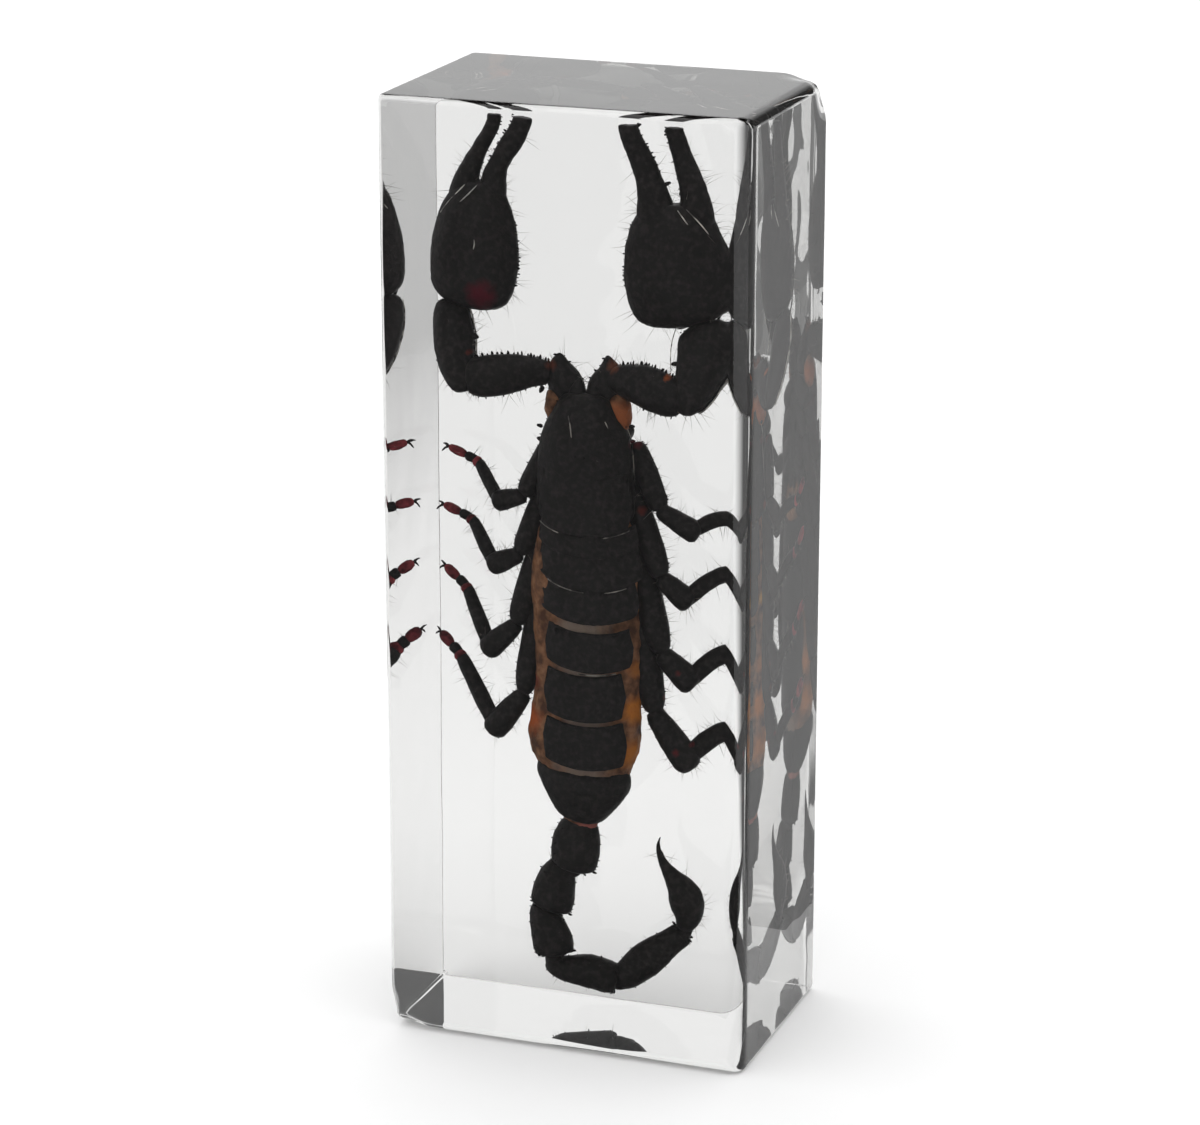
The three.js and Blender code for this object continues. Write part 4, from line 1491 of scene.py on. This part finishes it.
@dataclass
class Tail:
    """The five tail segments and the bulb with its sting.

    Args:
        segments: The rings of each segment, from the trunk on.
        sting: The rings of the bulb and its sting.
    """

    segments: tuple[list[Ring], ...] = (
        rings(
            (-2.2, 5.8, 24.35, 1.5, 1.4), (-2.25, 5.9, 23.75, 2.1, 1.9), (-2.4, 6, 22.75, 2.6, 2.3),
            (-2.7, 6.1, 21.35, 2.95, 2.5), (-2.95, 6.2, 19.75, 3, 2.5), (-3.1, 6.3, 18.55, 2.85, 2.4),
            (-3.2, 6.3, 18, 2.6, 2.2), (-3.25, 6.4, 17.8, 1.6, 1.4),
        ),
        rings(
            (-4.45, 6.4, 18.45, 1.2, 1.2), (-4.65, 6.4, 17.75, 1.7, 1.7), (-5.05, 6.4, 16.65, 2.2, 2.1),
            (-5.45, 6.4, 15.35, 2.5, 2.35), (-5.75, 6.5, 13.85, 2.65, 2.45), (-5.88, 6.2, 12.92, 2.6, 2.35),
            (-5.98, 6.2, 12.42, 2.4, 2.1), (-6.03, 6.2, 12.22, 1.4, 1.3),
        ),
        rings(
            (-7.28, 6.2, 12.92, 1, 1.1), (-7.18, 6.2, 12.22, 1.45, 1.6), (-6.88, 6.2, 11.32, 1.8, 1.9),
            (-6.48, 6.2, 10.43, 2.2, 2.1), (-6.03, 6.2, 9.33, 2.45, 2.3), (-5.73, 6.2, 8.23, 2.6, 2.4),
            (-5.53, 6.2, 7.33, 2.5, 2.3), (-5.43, 6.2, 6.83, 2.3, 2.1), (-5.38, 6.2, 6.63, 1.4, 1.3),
        ),
        rings(
            (-6.18, 6.2, 5.63, 0.9, 1), (-5.68, 6.2, 5.28, 1.3, 1.5), (-4.52, 6.34, 4.94, 1.5, 1.8),
            (-2.96, 6.61, 4.9, 1.85, 2), (-1.2, 6.79, 4.95, 2.2, 2.2), (0.27, 6.94, 4.66, 2.1, 2.2),
            (1.44, 7.07, 4.38, 2, 2), (2.03, 7.13, 4.26, 1.85, 1.8), (2.22, 7.15, 4.21, 1.1, 1.1),
        ),
        rings(
            (2.32, 7.17, 3.8, 0.9, 1.1), (2.61, 7.23, 4.14, 1.35, 1.5), (3.18, 7.34, 4.76, 1.75, 1.8),
            (4.14, 7.54, 5.76, 1.95, 2), (5.29, 7.67, 6.85, 2.15, 2.1), (6.54, 7.92, 7.99, 2.05, 2.1),
            (7.88, 8.09, 9.12, 1.7, 1.9), (9.04, 8.23, 10.12, 1.5, 1.6), (9.71, 8.36, 10.68, 1.55, 1.5),
            (9.95, 8.3, 10.93, 1.35, 1.3), (10.05, 8.3, 11.03, 0.8, 0.8),
        ),
    )
    sting: list[Ring] = field(default_factory=lambda: rings(
        (9.9, 8.3, 11.03, 0.7, 0.8), (10.2, 8.3, 11.83, 1.1, 1.2), (10.6, 8.2, 12.83, 1.6, 1.7),
        (10.55, 8.2, 14.33, 2.2, 2.2), (10.15, 8.2, 15.84, 2.15, 2), (9.42, 8.1, 17.06, 1.55, 1.5),
        (8.46, 7.91, 18.11, 0.95, 0.95), (7.64, 7.74, 19.36, 0.58, 0.6), (7.07, 7.63, 20.68, 0.36, 0.38),
        (6.92, 7.7, 21.69, 0.22, 0.22), (7.21, 7.86, 22.58, 0.06, 0.06),
    ))

    # Where the ridges, the rows of teeth and the larger teeth at a segment's end stand, in
    # degrees as in on_skin().
    KEELS = (-45, 45)
    ROWS = (-45, 45, -90, 90, -135, 135)
    END_TEETH = (-90, -45, 45, 90, 135, -135)

    def build(self, cuticle: bpy.types.Material) -> tuple[bpy.types.Object, bpy.types.Object]:
        """Model the tail and the sting and dress them.

        Args:
            cuticle: Their finish.

        Returns:
            The tail and the sting.
        """
        clay = Clay("tail")
        for first, second in zip(self.segments, (*self.segments[1:], self.sting)):
            clay.tube(sleeve(first, second, 0.95), sides=10)
        for run in self.segments:
            clay.tube(domed(run))
            for angle in self.KEELS:
                clay.keel(run, angle, 0.22)
            for angle in self.ROWS:
                clay.teeth(run, Row(angle, 9, 0.22))
            for angle in self.END_TEETH:
                clay.teeth(run, Row(angle, 2, 0.4, 0.86, 0.93))
        tail = clay.done()
        granulate(tail, 0.1)
        dress(tail, cuticle)
        clay = Clay("sting")
        clay.tube(self.sting)
        sting = clay.done()
        roughen(sting, 0.9, 0.15, 0.5)
        dress(sting, cuticle)
        return tail, sting


@dataclass
class Leg:
    """One walking leg, by its joints, in millimetres.

    Args:
        side, number: The side that it is on, and its place there from the top.
        girth: How thick it is beside the profiles.
        hip, knee, shin_top, ankle, toe: Where its joints and its tip lie.
        bow: How far the middle of its shin is raised.
    """

    side: Side
    number: int
    girth: float
    hip: tuple[float, float, float]
    knee: tuple[float, float, float]
    shin_top: tuple[float, float, float]
    ankle: tuple[float, float, float]
    toe: tuple[float, float, float]
    bow: float = 0.0

    # Profiles: the share of a piece's length, and its radius there before the girth.
    THIGH = ((-0.02, 0.6), (0.03, 1.0), (0.15, 1.15), (0.5, 1.35), (0.85, 1.25), (0.95, 1.0),
             (1.0, 0.5))
    KNEE = ((-0.08, 0.5), (0.0, 0.85), (0.15, 0.98), (0.45, 1.15), (0.8, 1.28), (0.94, 1.15),
            (1.02, 0.6))
    SHIN = ((-0.08, 0.45), (0.0, 0.75), (0.35, 0.85), (0.8, 0.72), (0.96, 0.66), (1.02, 0.4))
    ANKLE = ((-0.06, 0.3), (0.06, 0.5), (0.6, 0.58), (0.92, 0.55), (1.02, 0.3))
    FOOT = ((-0.06, 0.3), (0.08, 0.5), (0.5, 0.6), (0.85, 0.47), (1.0, 0.25))
    JOINT = ((0.0, 0.35), (0.2, 0.62), (0.5, 0.7), (0.8, 0.55), (1.0, 0.3))

    # A claw: the share of its length and the radius there, in millimetres.
    CLAW = ((-0.2, 0.18), (0.3, 0.16), (0.7, 0.12), (1.0, 0.08), (1.2, 0.03))
    CLAW_LENGTH = 0.75
    CLAW_SPREAD = 0.35
    CLAW_DROP = 0.35

    # The knee piece reaches past the shin's top, and the foot starts part of the way to the toe.
    # The soft joint between runs from a share of the shin to a share of the ankle's piece.
    KNEE_REACH = 1.2
    FOOT_START = 0.42
    JOINT_START = 0.92
    JOINT_END = 0.35

    def run(self, start: Vector, end: Vector, profile: Iterable[tuple[float, float]],
            bow: float = 0.0) -> list[Ring]:
        """Rings along a straight or bowed piece.

        Args:
            start, end: Its joints, in millimetres.
            profile: Pairs of the share of its length and the radius there before the girth.
            bow: How far its middle is raised, in millimetres.

        Returns:
            The rings.
        """
        made = []
        for share, radius in profile:
            at = start.lerp(end, share)
            at.z += bow * (1 - (2 * share - 1) ** 2)
            made.append(Ring(*at, radius * self.girth, radius * self.girth))
        return made

    def build(self, cuticle: bpy.types.Material, horn: bpy.types.Material) -> bpy.types.Object:
        """Model the leg and its foot and dress them.

        Args:
            cuticle: The finish of the leg.
            horn: The finish of the foot and of the ankle's joint.

        Returns:
            The leg.
        """
        joints = (self.hip, self.knee, self.shin_top, self.ankle, self.toe)
        hip, knee, shin_top, ankle, toe = (Vector(joint) for joint in joints)
        foot_joint = ankle.lerp(toe, self.FOOT_START)
        thigh = self.run(hip, knee, self.THIGH)
        knee_piece = self.run(knee, knee.lerp(shin_top, self.KNEE_REACH), self.KNEE)
        clay = Clay(f"{self.side.word}_leg_{self.number}")
        clay.tube(thigh, sides=10)
        clay.tube(knee_piece, sides=10)
        clay.tube(self.run(shin_top, ankle, self.SHIN, self.bow), sides=10)
        for angle in (90, -90):
            clay.teeth(thigh, Row(angle, 14, 0.2))
            clay.teeth(knee_piece, Row(angle, 6, 0.16))
        clay.tube(self.run(ankle, foot_joint, self.ANKLE), sides=8)
        for way in (-1, 1):
            clay.tube(self.claw(toe, (toe - ankle).normalized(), way), sides=6)
        leg = clay.done()
        granulate(leg, 0.08)
        dress(leg, cuticle)
        clay = Clay(f"{self.side.word}_foot_{self.number}")
        clay.tube(self.run(foot_joint, toe, self.FOOT), sides=8)
        start = shin_top.lerp(ankle, self.JOINT_START)
        end = ankle.lerp(foot_joint, self.JOINT_END)
        clay.tube(self.run(start, end, self.JOINT), sides=8)
        foot = clay.done()
        granulate(foot, 0.08)
        dress(foot, horn)
        return leg

    def claw(self, toe: Vector, along: Vector, way: int) -> list[Ring]:
        """The rings of one claw, which bends down towards its tip.

        Args:
            toe: The tip of the foot, in millimetres.
            along: The direction of the foot.
            way: -1 or 1 for the two claws.

        Returns:
            The rings.
        """
        spread = Vector((0.0, self.CLAW_SPREAD * way, self.CLAW_SPREAD * way))
        made = []
        for share, radius in self.CLAW:
            drop = Vector((0.0, 0.0, -self.CLAW_DROP * share * share))
            at = toe + along * self.CLAW_LENGTH * share + spread * share + drop
            made.append(Ring(*at, radius, radius))
        return made


LEGS = (
    Leg(Side.LEFT, 1, 1.0, (-5.2, 6.6, 70.2), (-8.9, 4.7, 62.5), (-12.0, 5.2, 61.6),
        (-15.1, 7.8, 65.6), (-18.9, 8.5, 66.9)),
    Leg(Side.LEFT, 2, 1.05, (-5.2, 6.7, 66.4), (-9.4, 4.7, 55.5), (-12.6, 5.2, 54.0),
        (-15.9, 7.8, 58.7), (-19.6, 8.6, 59.9)),
    Leg(Side.LEFT, 3, 1.15, (-5.1, 6.9, 63.0), (-9.9, 4.8, 47.0), (-13.2, 5.2, 43.9),
        (-16.6, 7.9, 50.4), (-19.5, 8.7, 52.5)),
    Leg(Side.LEFT, 4, 1.25, (-4.9, 7.1, 60.5), (-9.1, 5.2, 38.5), (-12.5, 5.3, 34.3),
        (-17.6, 8.0, 42.1), (-20.2, 8.8, 44.4)),
    Leg(Side.RIGHT, 1, 1.1, (4.2, 6.6, 69.6), (7.6, 4.8, 62.4), (11.4, 5.2, 60.3),
        (16.8, 7.8, 61.9), (19.7, 8.5, 64.6), bow=0.8),
    Leg(Side.RIGHT, 2, 1.2, (3.1, 6.7, 66.0), (7.8, 4.8, 54.4), (10.7, 5.2, 52.1),
        (16.2, 7.9, 55.8), (19.8, 8.6, 58.7), bow=0.8),
    Leg(Side.RIGHT, 3, 1.35, (2.9, 6.9, 62.6), (7.9, 4.9, 45.4), (11.1, 5.3, 42.5),
        (16.4, 8.0, 46.6), (19.8, 8.7, 49.8), bow=0.8),
    Leg(Side.RIGHT, 4, 1.45, (2.6, 7.1, 60.2), (7.0, 5.3, 38.0), (10.8, 5.3, 33.0),
        (16.4, 8.0, 37.3), (19.9, 8.8, 40.4), bow=0.8),
)


@dataclass
class Bristles:
    """Stiff hairs that stand on the skin, each a bent three-sided spike.

    Args:
        name: The name of the piece.
        shortest, longest: Their lengths, in millimetres.
        per_square: How many stand on a square millimetre.
        lean: How far they lean over at most, in degrees.
        highest: The height above which none grow, in millimetres.
        widest: The distance from the middle beyond which none grow, in millimetres.
        seed: What their scatter starts from.
    """

    # A bristle 1 mm long: the radius that it starts from, how far its tip hangs over, the
    # heights of its rings, and the share of the radius from which their height is taken.
    RADIUS = 0.013
    HANG = 0.22
    STOPS = (0.0, 0.35, 0.7, 1.0)
    BLUNT = 1.1

    # None grow where the normal's y is less: there the skin looks at the front of the block.
    MOST_FORWARD = -0.3

    name: str
    shortest: float
    longest: float
    per_square: float
    lean: float = 35.0
    highest: float = 104.0
    widest: float = 19.6
    seed: int = 1

    def spike(self) -> bpy.types.Object:
        """Model one bristle, 1 mm long.

        Returns:
            The bristle.
        """
        clay = Clay("spike")
        radii = [self.RADIUS * (self.BLUNT - t) for t in self.STOPS]
        clay.tube([Ring(self.HANG * t * t, 0.0, t, radius, radius)
                   for t, radius in zip(self.STOPS, radii)], sides=3)
        return clay.done(levels=0)

    def scatter(self, spike: bpy.types.Object) -> bpy.types.NodeTree:
        """The nodes that set copies of a bristle on a mesh and drop the mesh.

        Args:
            spike: The bristle.

        Returns:
            The node group.
        """
        tree = bpy.data.node_groups.new(self.name, "GeometryNodeTree")
        for way in ("INPUT", "OUTPUT"):
            tree.interface.new_socket("Geometry", in_out=way, socket_type="NodeSocketGeometry")
        skin = add_node(tree, "NodeGroupInput").outputs["Geometry"]
        facing = add_node(tree, "GeometryNodeInputNormal").outputs["Normal"]
        facing = add_node(tree, "ShaderNodeSeparateXYZ", {"Vector": facing}).outputs["Y"]
        sideways = add_node(tree, "FunctionNodeCompare", {0: facing, 1: self.MOST_FORWARD},
                            data_type="FLOAT", operation="GREATER_THAN").outputs["Result"]
        place = add_node(tree, "GeometryNodeInputPosition").outputs["Position"]
        axes = add_node(tree, "ShaderNodeSeparateXYZ", {"Vector": place}).outputs
        outward = add_node(tree, "ShaderNodeMath", {0: axes["X"]}, operation="ABSOLUTE")
        allowed = sideways
        for value, most in ((axes["Z"], self.highest), (outward.outputs["Value"], self.widest)):
            inside = add_node(tree, "FunctionNodeCompare", {0: value, 1: most * MM},
                              data_type="FLOAT", operation="LESS_THAN").outputs["Result"]
            allowed = add_node(tree, "FunctionNodeBooleanMath", {0: allowed, 1: inside},
                               operation="AND").outputs["Boolean"]
        points = add_node(tree, "GeometryNodeDistributePointsOnFaces", {
            "Mesh": skin, "Selection": allowed,
            "Density": self.per_square / MM**2, "Seed": self.seed,
        }).outputs
        most = math.radians(self.lean)
        tilt = add_node(tree, "FunctionNodeRandomValue", {
            0: (-most, -most, -math.pi), 1: (most, most, math.pi), "Seed": self.seed + 1,
        }, data_type="FLOAT_VECTOR").outputs["Value"]
        turn = add_node(tree, "FunctionNodeRotateRotation", {
            "Rotation": points["Rotation"], "Rotate By": tilt,
        }, rotation_space="LOCAL").outputs["Rotation"]
        size = add_node(tree, "FunctionNodeRandomValue", {
            0: (0.8, 0.8, self.shortest), 1: (1.2, 1.2, self.longest), "Seed": self.seed + 2,
        }, data_type="FLOAT_VECTOR").outputs["Value"]
        shape = add_node(tree, "GeometryNodeObjectInfo", {"Object": spike}).outputs["Geometry"]
        hairs = add_node(tree, "GeometryNodeInstanceOnPoints", {
            "Points": points["Points"], "Instance": shape, "Rotation": turn, "Scale": size,
        }).outputs["Instances"]
        real = add_node(tree, "GeometryNodeRealizeInstances", {"Geometry": hairs})
        add_node(tree, "NodeGroupOutput", {"Geometry": real.outputs["Geometry"]})
        return tree

    def grow(self, carriers: Iterable[bpy.types.Object], bristle: bpy.types.Material) -> None:
        """Set the bristles on a copy of their carriers, keep them alone, and dress them.

        Args:
            carriers: The pieces that carry them.
            bristle: Their finish.
        """
        spike = self.spike()
        deselect()
        for carrier in carriers:
            carrier.select_set(True)
        bpy.context.view_layer.objects.active = bpy.context.selected_objects[0]
        bpy.ops.object.duplicate()
        if len(bpy.context.selected_objects) > 1:
            bpy.ops.object.join()
        hairs = bpy.context.object
        hairs.name = hairs.data.name = self.name
        modify(hairs, "NODES", node_group=self.scatter(spike))
        bpy.data.objects.remove(spike)
        dress(hairs, bristle)


# ---- Studio ---------------------------------------------------------------------------------


class Ray(Enum):
    """The kinds of ray that can be let see a thing."""

    CAMERA = "camera"
    DIFFUSE = "diffuse"
    GLOSSY = "glossy"
    TRANSMISSION = "transmission"
    SCATTER = "volume_scatter"
    SHADOW = "shadow"


@dataclass(frozen=True)
class Card:
    """A level square card, on the floor or overhead, that only one kind of ray sees. Its tone is
    painted light: a painted reflection for glossy rays, painted shade for transmitted ones.

    Args:
        name: Its name.
        place: Its middle, in metres.
        tone: Its colour.
        seen_by: The kind of ray.
        turn: How far it is turned, in degrees.
        size: The length of its sides, in metres.
    """

    name: str
    place: tuple[float, float, float]
    tone: str
    seen_by: Ray
    turn: float = 0.0
    size: float = 0.6

    def lay(self, material: bpy.types.Material | None = None) -> None:
        """Put the card in its place, as stage.

        Args:
            material: Its finish, or None for a plain matt finish of its tone, as painted light.
        """
        deselect()
        bpy.ops.mesh.primitive_plane_add(
            size=self.size, location=self.place, rotation=(0.0, 0.0, math.radians(self.turn))
        )
        card = bpy.context.object
        card.name = self.name
        # The plain tone is painted light, seen as a reflection by glossy rays and as shade through the
        # block.
        if material is None:
            painted_tone = Finish(f"{self.name}_felt")
            painted_tone.shade(Base_Color=linear(self.tone), Roughness=1.0, Specular_IOR_Level=0.0)
            material = painted_tone.material
        card.data.materials.append(material)
        for ray in Ray:
            setattr(card, f"visible_{ray.value}", ray is self.seen_by)


@dataclass
class Studio:
    """Pale floor, soft light from all round, and the camera.

    The light is the sky's. It is brightest overhead, and dim on the right and low down in
    front, with soft edges between. A direction's x, y and z say where each edge lies.

    Args:
        azimuth, elevation, distance: Where the camera stands, in degrees and metres.
        target: What it looks at, in metres.
        lens: Its focal length on a sensor 36 mm wide.
        floor_size, floor_z: The floor's sides and height, in metres.
        white: The tone of the floor.
        panel, dim, ceiling: How bright the walls, the dim sides and the ceiling are.
        side_edge, front_edge, front_rise, ceiling_edge: Where they pass into each other.
        cards: The dark and grey cards: those seen by glossy rays are painted reflections on the
            block's faces, the one seen by transmission is painted shade behind it.
        board: The board behind the block, seen only through it; its dark band and fades are painted
            shade.
        board_pivot: The point that its tones go round, in metres.
        board_tones: Its tone by direction, in degrees from straight back towards the left.
            board_distance, board_right: Where it fades into painted shade, in metres away and to the
            right: the start, the end and the share that is left there.
    """

    azimuth: float = 20.12
    elevation: float = 17.02
    distance: float = 0.48061
    target: tuple[float, float, float] = (-0.581 * MM, 0.0, 54.70 * MM)
    lens: float = 126.1
    floor_size: float = 8.0
    floor_z: float = -0.0002
    white: str = "F8F8F8"
    panel: float = 1.0
    dim: float = 0.1
    ceiling: float = 1.5
    side_edge: tuple[float, float] = (0.0, 0.25)
    front_edge: tuple[float, float] = (-0.5, -0.2)
    front_rise: tuple[float, float] = (0.02, 0.12)
    ceiling_edge: tuple[float, float] = (0.45, 0.6)
    # The glossy cards are painted reflections on the block's faces, the transmission card painted shade
    # seen through it.
    cards: tuple[Card, ...] = (
        Card("front_card", (-0.2, -0.33, 0.0), "606060", Ray.GLOSSY),
        Card("back_card", (0.33, 0.33, 0.0), "B8B8B8", Ray.GLOSSY),
        Card("far_front_card", (-0.482, -0.477, 0.0001), "585858", Ray.TRANSMISSION, turn=-17.4),
        Card("top_card", (0.0, 0.1, 0.6), "060606", Ray.GLOSSY, size=0.7),
    )
    # The board, seen only through the block, carries painted shade: a dark band and fades.
    board: Card = Card("far_board", (0.0, 0.0, -0.0001), "F8F8F8", Ray.TRANSMISSION, size=4.0)
    board_pivot: tuple[float, float, float] = (-0.0215, 0.014, 0.0)
    board_tones: tuple[tuple[float, str], ...] = (
        (-180, "F8F8F8"), (26, "F8F8F8"), (40, "909090"), (46, "101010"), (66, "101010"),
        (72, "F8F8F8"), (180, "F8F8F8"),
    )
    board_distance: tuple[float, float, float] = (0.05, 0.16, 0.87)
    board_right: tuple[float, float, float] = (0.07, 0.125, 0.62)

    def build(self) -> None:
        """Make the world, the floor, the cards and the camera."""
        bpy.context.scene.view_settings.view_transform = "Standard"
        self.build_sky()
        self.build_floor()
        for card in self.cards:
            card.lay()
        self.board.lay(self.board_finish())
        self.build_camera()

    def board_finish(self) -> bpy.types.Material:
        """Make the board's painted shade: its tone by direction, by distance and to the right.

        Returns:
            The material.
        """
        finish = Finish("matt_far_board")
        away = add_node(finish.tree, "ShaderNodeVectorMath", {0: finish.place, 1: self.board_pivot},
                        operation="SUBTRACT").outputs["Vector"]
        axes = add_node(finish.tree, "ShaderNodeSeparateXYZ", {"Vector": away}).outputs
        left = add_node(finish.tree, "ShaderNodeMath", {0: axes["X"], 1: -1.0}, operation="MULTIPLY")
        turn = add_node(finish.tree, "ShaderNodeMath", {0: left.outputs["Value"], 1: axes["Y"]},
                        operation="ARCTAN2").outputs["Value"]
        share = add_node(finish.tree, "ShaderNodeMapRange", {
            "Value": turn, "From Min": -math.pi, "From Max": math.pi,
        }).outputs["Result"]
        colour = finish.ramp(share, *((at / 360 + 0.5, tone) for at, tone in self.board_tones))
        length = add_node(finish.tree, "ShaderNodeVectorMath", {0: away}, operation="LENGTH")
        for value, (near, far, least) in ((length.outputs["Value"], self.board_distance),
                                          (axes["X"], self.board_right)):
            fade = add_node(finish.tree, "ShaderNodeMapRange", {
                "Value": value, "From Min": near, "From Max": far, "To Min": 1.0, "To Max": least,
            }).outputs["Result"]
            colour = add_node(finish.tree, "ShaderNodeVectorMath", {"Vector": colour, "Scale": fade},
                              operation="SCALE").outputs["Vector"]
        finish.shade(Base_Color=colour, Roughness=0.9)
        return finish.material

    def build_sky(self) -> None:
        """Make the world's light."""
        world = bpy.data.worlds.new("soft_studio")
        world.use_nodes = True
        tree = world.node_tree
        way = add_node(tree, "ShaderNodeTexCoord").outputs["Generated"]
        axes = add_node(tree, "ShaderNodeSeparateXYZ", {"Vector": way}).outputs
        ranges = (
            ("X", self.side_edge, self.panel, self.dim),
            ("Y", self.front_edge, self.dim, self.panel),
            ("Z", self.front_rise, self.dim, self.panel),
        )
        side, back, rise = (
            add_node(tree, "ShaderNodeMapRange", {
                "Value": axes[axis], "From Min": edge[0], "From Max": edge[1],
                "To Min": start, "To Max": end,
            }).outputs["Result"] for axis, edge, start, end in ranges
        )
        front = add_node(tree, "ShaderNodeMath", {0: back, 1: rise}, operation="MAXIMUM")
        walls = add_node(tree, "ShaderNodeMath", {0: side, 1: front.outputs["Value"]},
                         operation="MINIMUM")
        high = add_node(tree, "ShaderNodeMapRange", {
            "Value": axes["Z"], "From Min": self.ceiling_edge[0], "From Max": self.ceiling_edge[1],
        })
        light = add_node(tree, "ShaderNodeMix", {
            "Factor": high.outputs["Result"], "A": walls.outputs["Value"], "B": self.ceiling,
        })
        sky = tree.nodes["Background"]
        tree.links.new(light.outputs["Result"], sky.inputs["Strength"])
        sky.inputs["Color"].default_value = linear("FFFFFF")
        bpy.context.scene.world = world

    def build_floor(self) -> None:
        """Make the pale floor, as stage."""
        deselect()
        bpy.ops.mesh.primitive_plane_add(size=self.floor_size, location=(0.0, 0.0, self.floor_z))
        floor = bpy.context.object
        floor.name = "floor"
        finish = Finish("matt_white_board")
        finish.shade(Base_Color=linear(self.white), Roughness=0.9)
        floor.data.materials.append(finish.material)

    def build_camera(self) -> None:
        """Make the camera and let the scene use it."""
        turn, rise = math.radians(self.azimuth), math.radians(self.elevation)
        level = math.cos(rise)
        away = Vector((math.sin(turn) * level, -math.cos(turn) * level, math.sin(rise)))
        data = bpy.data.cameras.new("camera")
        data.lens = self.lens
        data.sensor_width = 36.0
        data.clip_start = 0.01
        data.clip_end = 20.0
        camera = bpy.data.objects.new("camera", data)
        bpy.context.scene.collection.objects.link(camera)
        camera.location = Vector(self.target) + away * self.distance
        camera.rotation_euler = (-away).to_track_quat("-Z", "Y").to_euler()
        bpy.context.scene.camera = camera


def main() -> None:
    """Build the block, the scorpion and the studio."""
    logging.basicConfig(level=logging.INFO, format="%(name)s: %(message)s")
    Studio().build()
    cuticle = Cuticle().material()
    skin = SoftSkin("soft_joint_skin", "543828", "9A6E50", spots=SKIN_TONES_AND_PAINTED_GLOW).material()
    horn = SoftSkin("foot_horn", "48181E", "9A4046", wrinkle=0.8).material()
    bristle = Bristle().material()
    # Both air films carry a painted highlight; the dimmer one lines the plate edges and the carapace.
    film = LooseFilm().material()
    dim_glint_film = LooseFilm("thin_air_film_on_cuticle", "2A2624", "A8A29A").material()
    joints: list[list[Ring]] = []
    pincers: list[bpy.types.Object] = []
    for pincer in (LEFT_PINCER, RIGHT_PINCER):
        pincers.append(pincer.build(cuticle, film))
        joints += pincer.joint_skin()
    jaws = Trunk().build(cuticle, skin, dim_glint_film, joints)
    tail, sting = Tail().build(cuticle)
    legs = [leg.build(cuticle, horn) for leg in LEGS]
    Bristles("pincer_bristles", 0.6, 2.8, 0.8, widest=18.0).grow(pincers, bristle)
    Bristles("jaw_bristles", 0.8, 2.6, 1.4, seed=5).grow([jaws], bristle)
    Bristles("leg_bristles", 0.4, 1.9, 1.3, widest=18.6, seed=11).grow(legs, bristle)
    Bristles("tail_bristles", 0.4, 1.3, 0.12, seed=21).grow([tail], bristle)
    Bristles("sting_bristles", 0.8, 2.4, 1.0, seed=31).grow([sting], bristle)
    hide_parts("scorpion")
    ResinBlock().build()


if __name__ == "__main__":
    main()
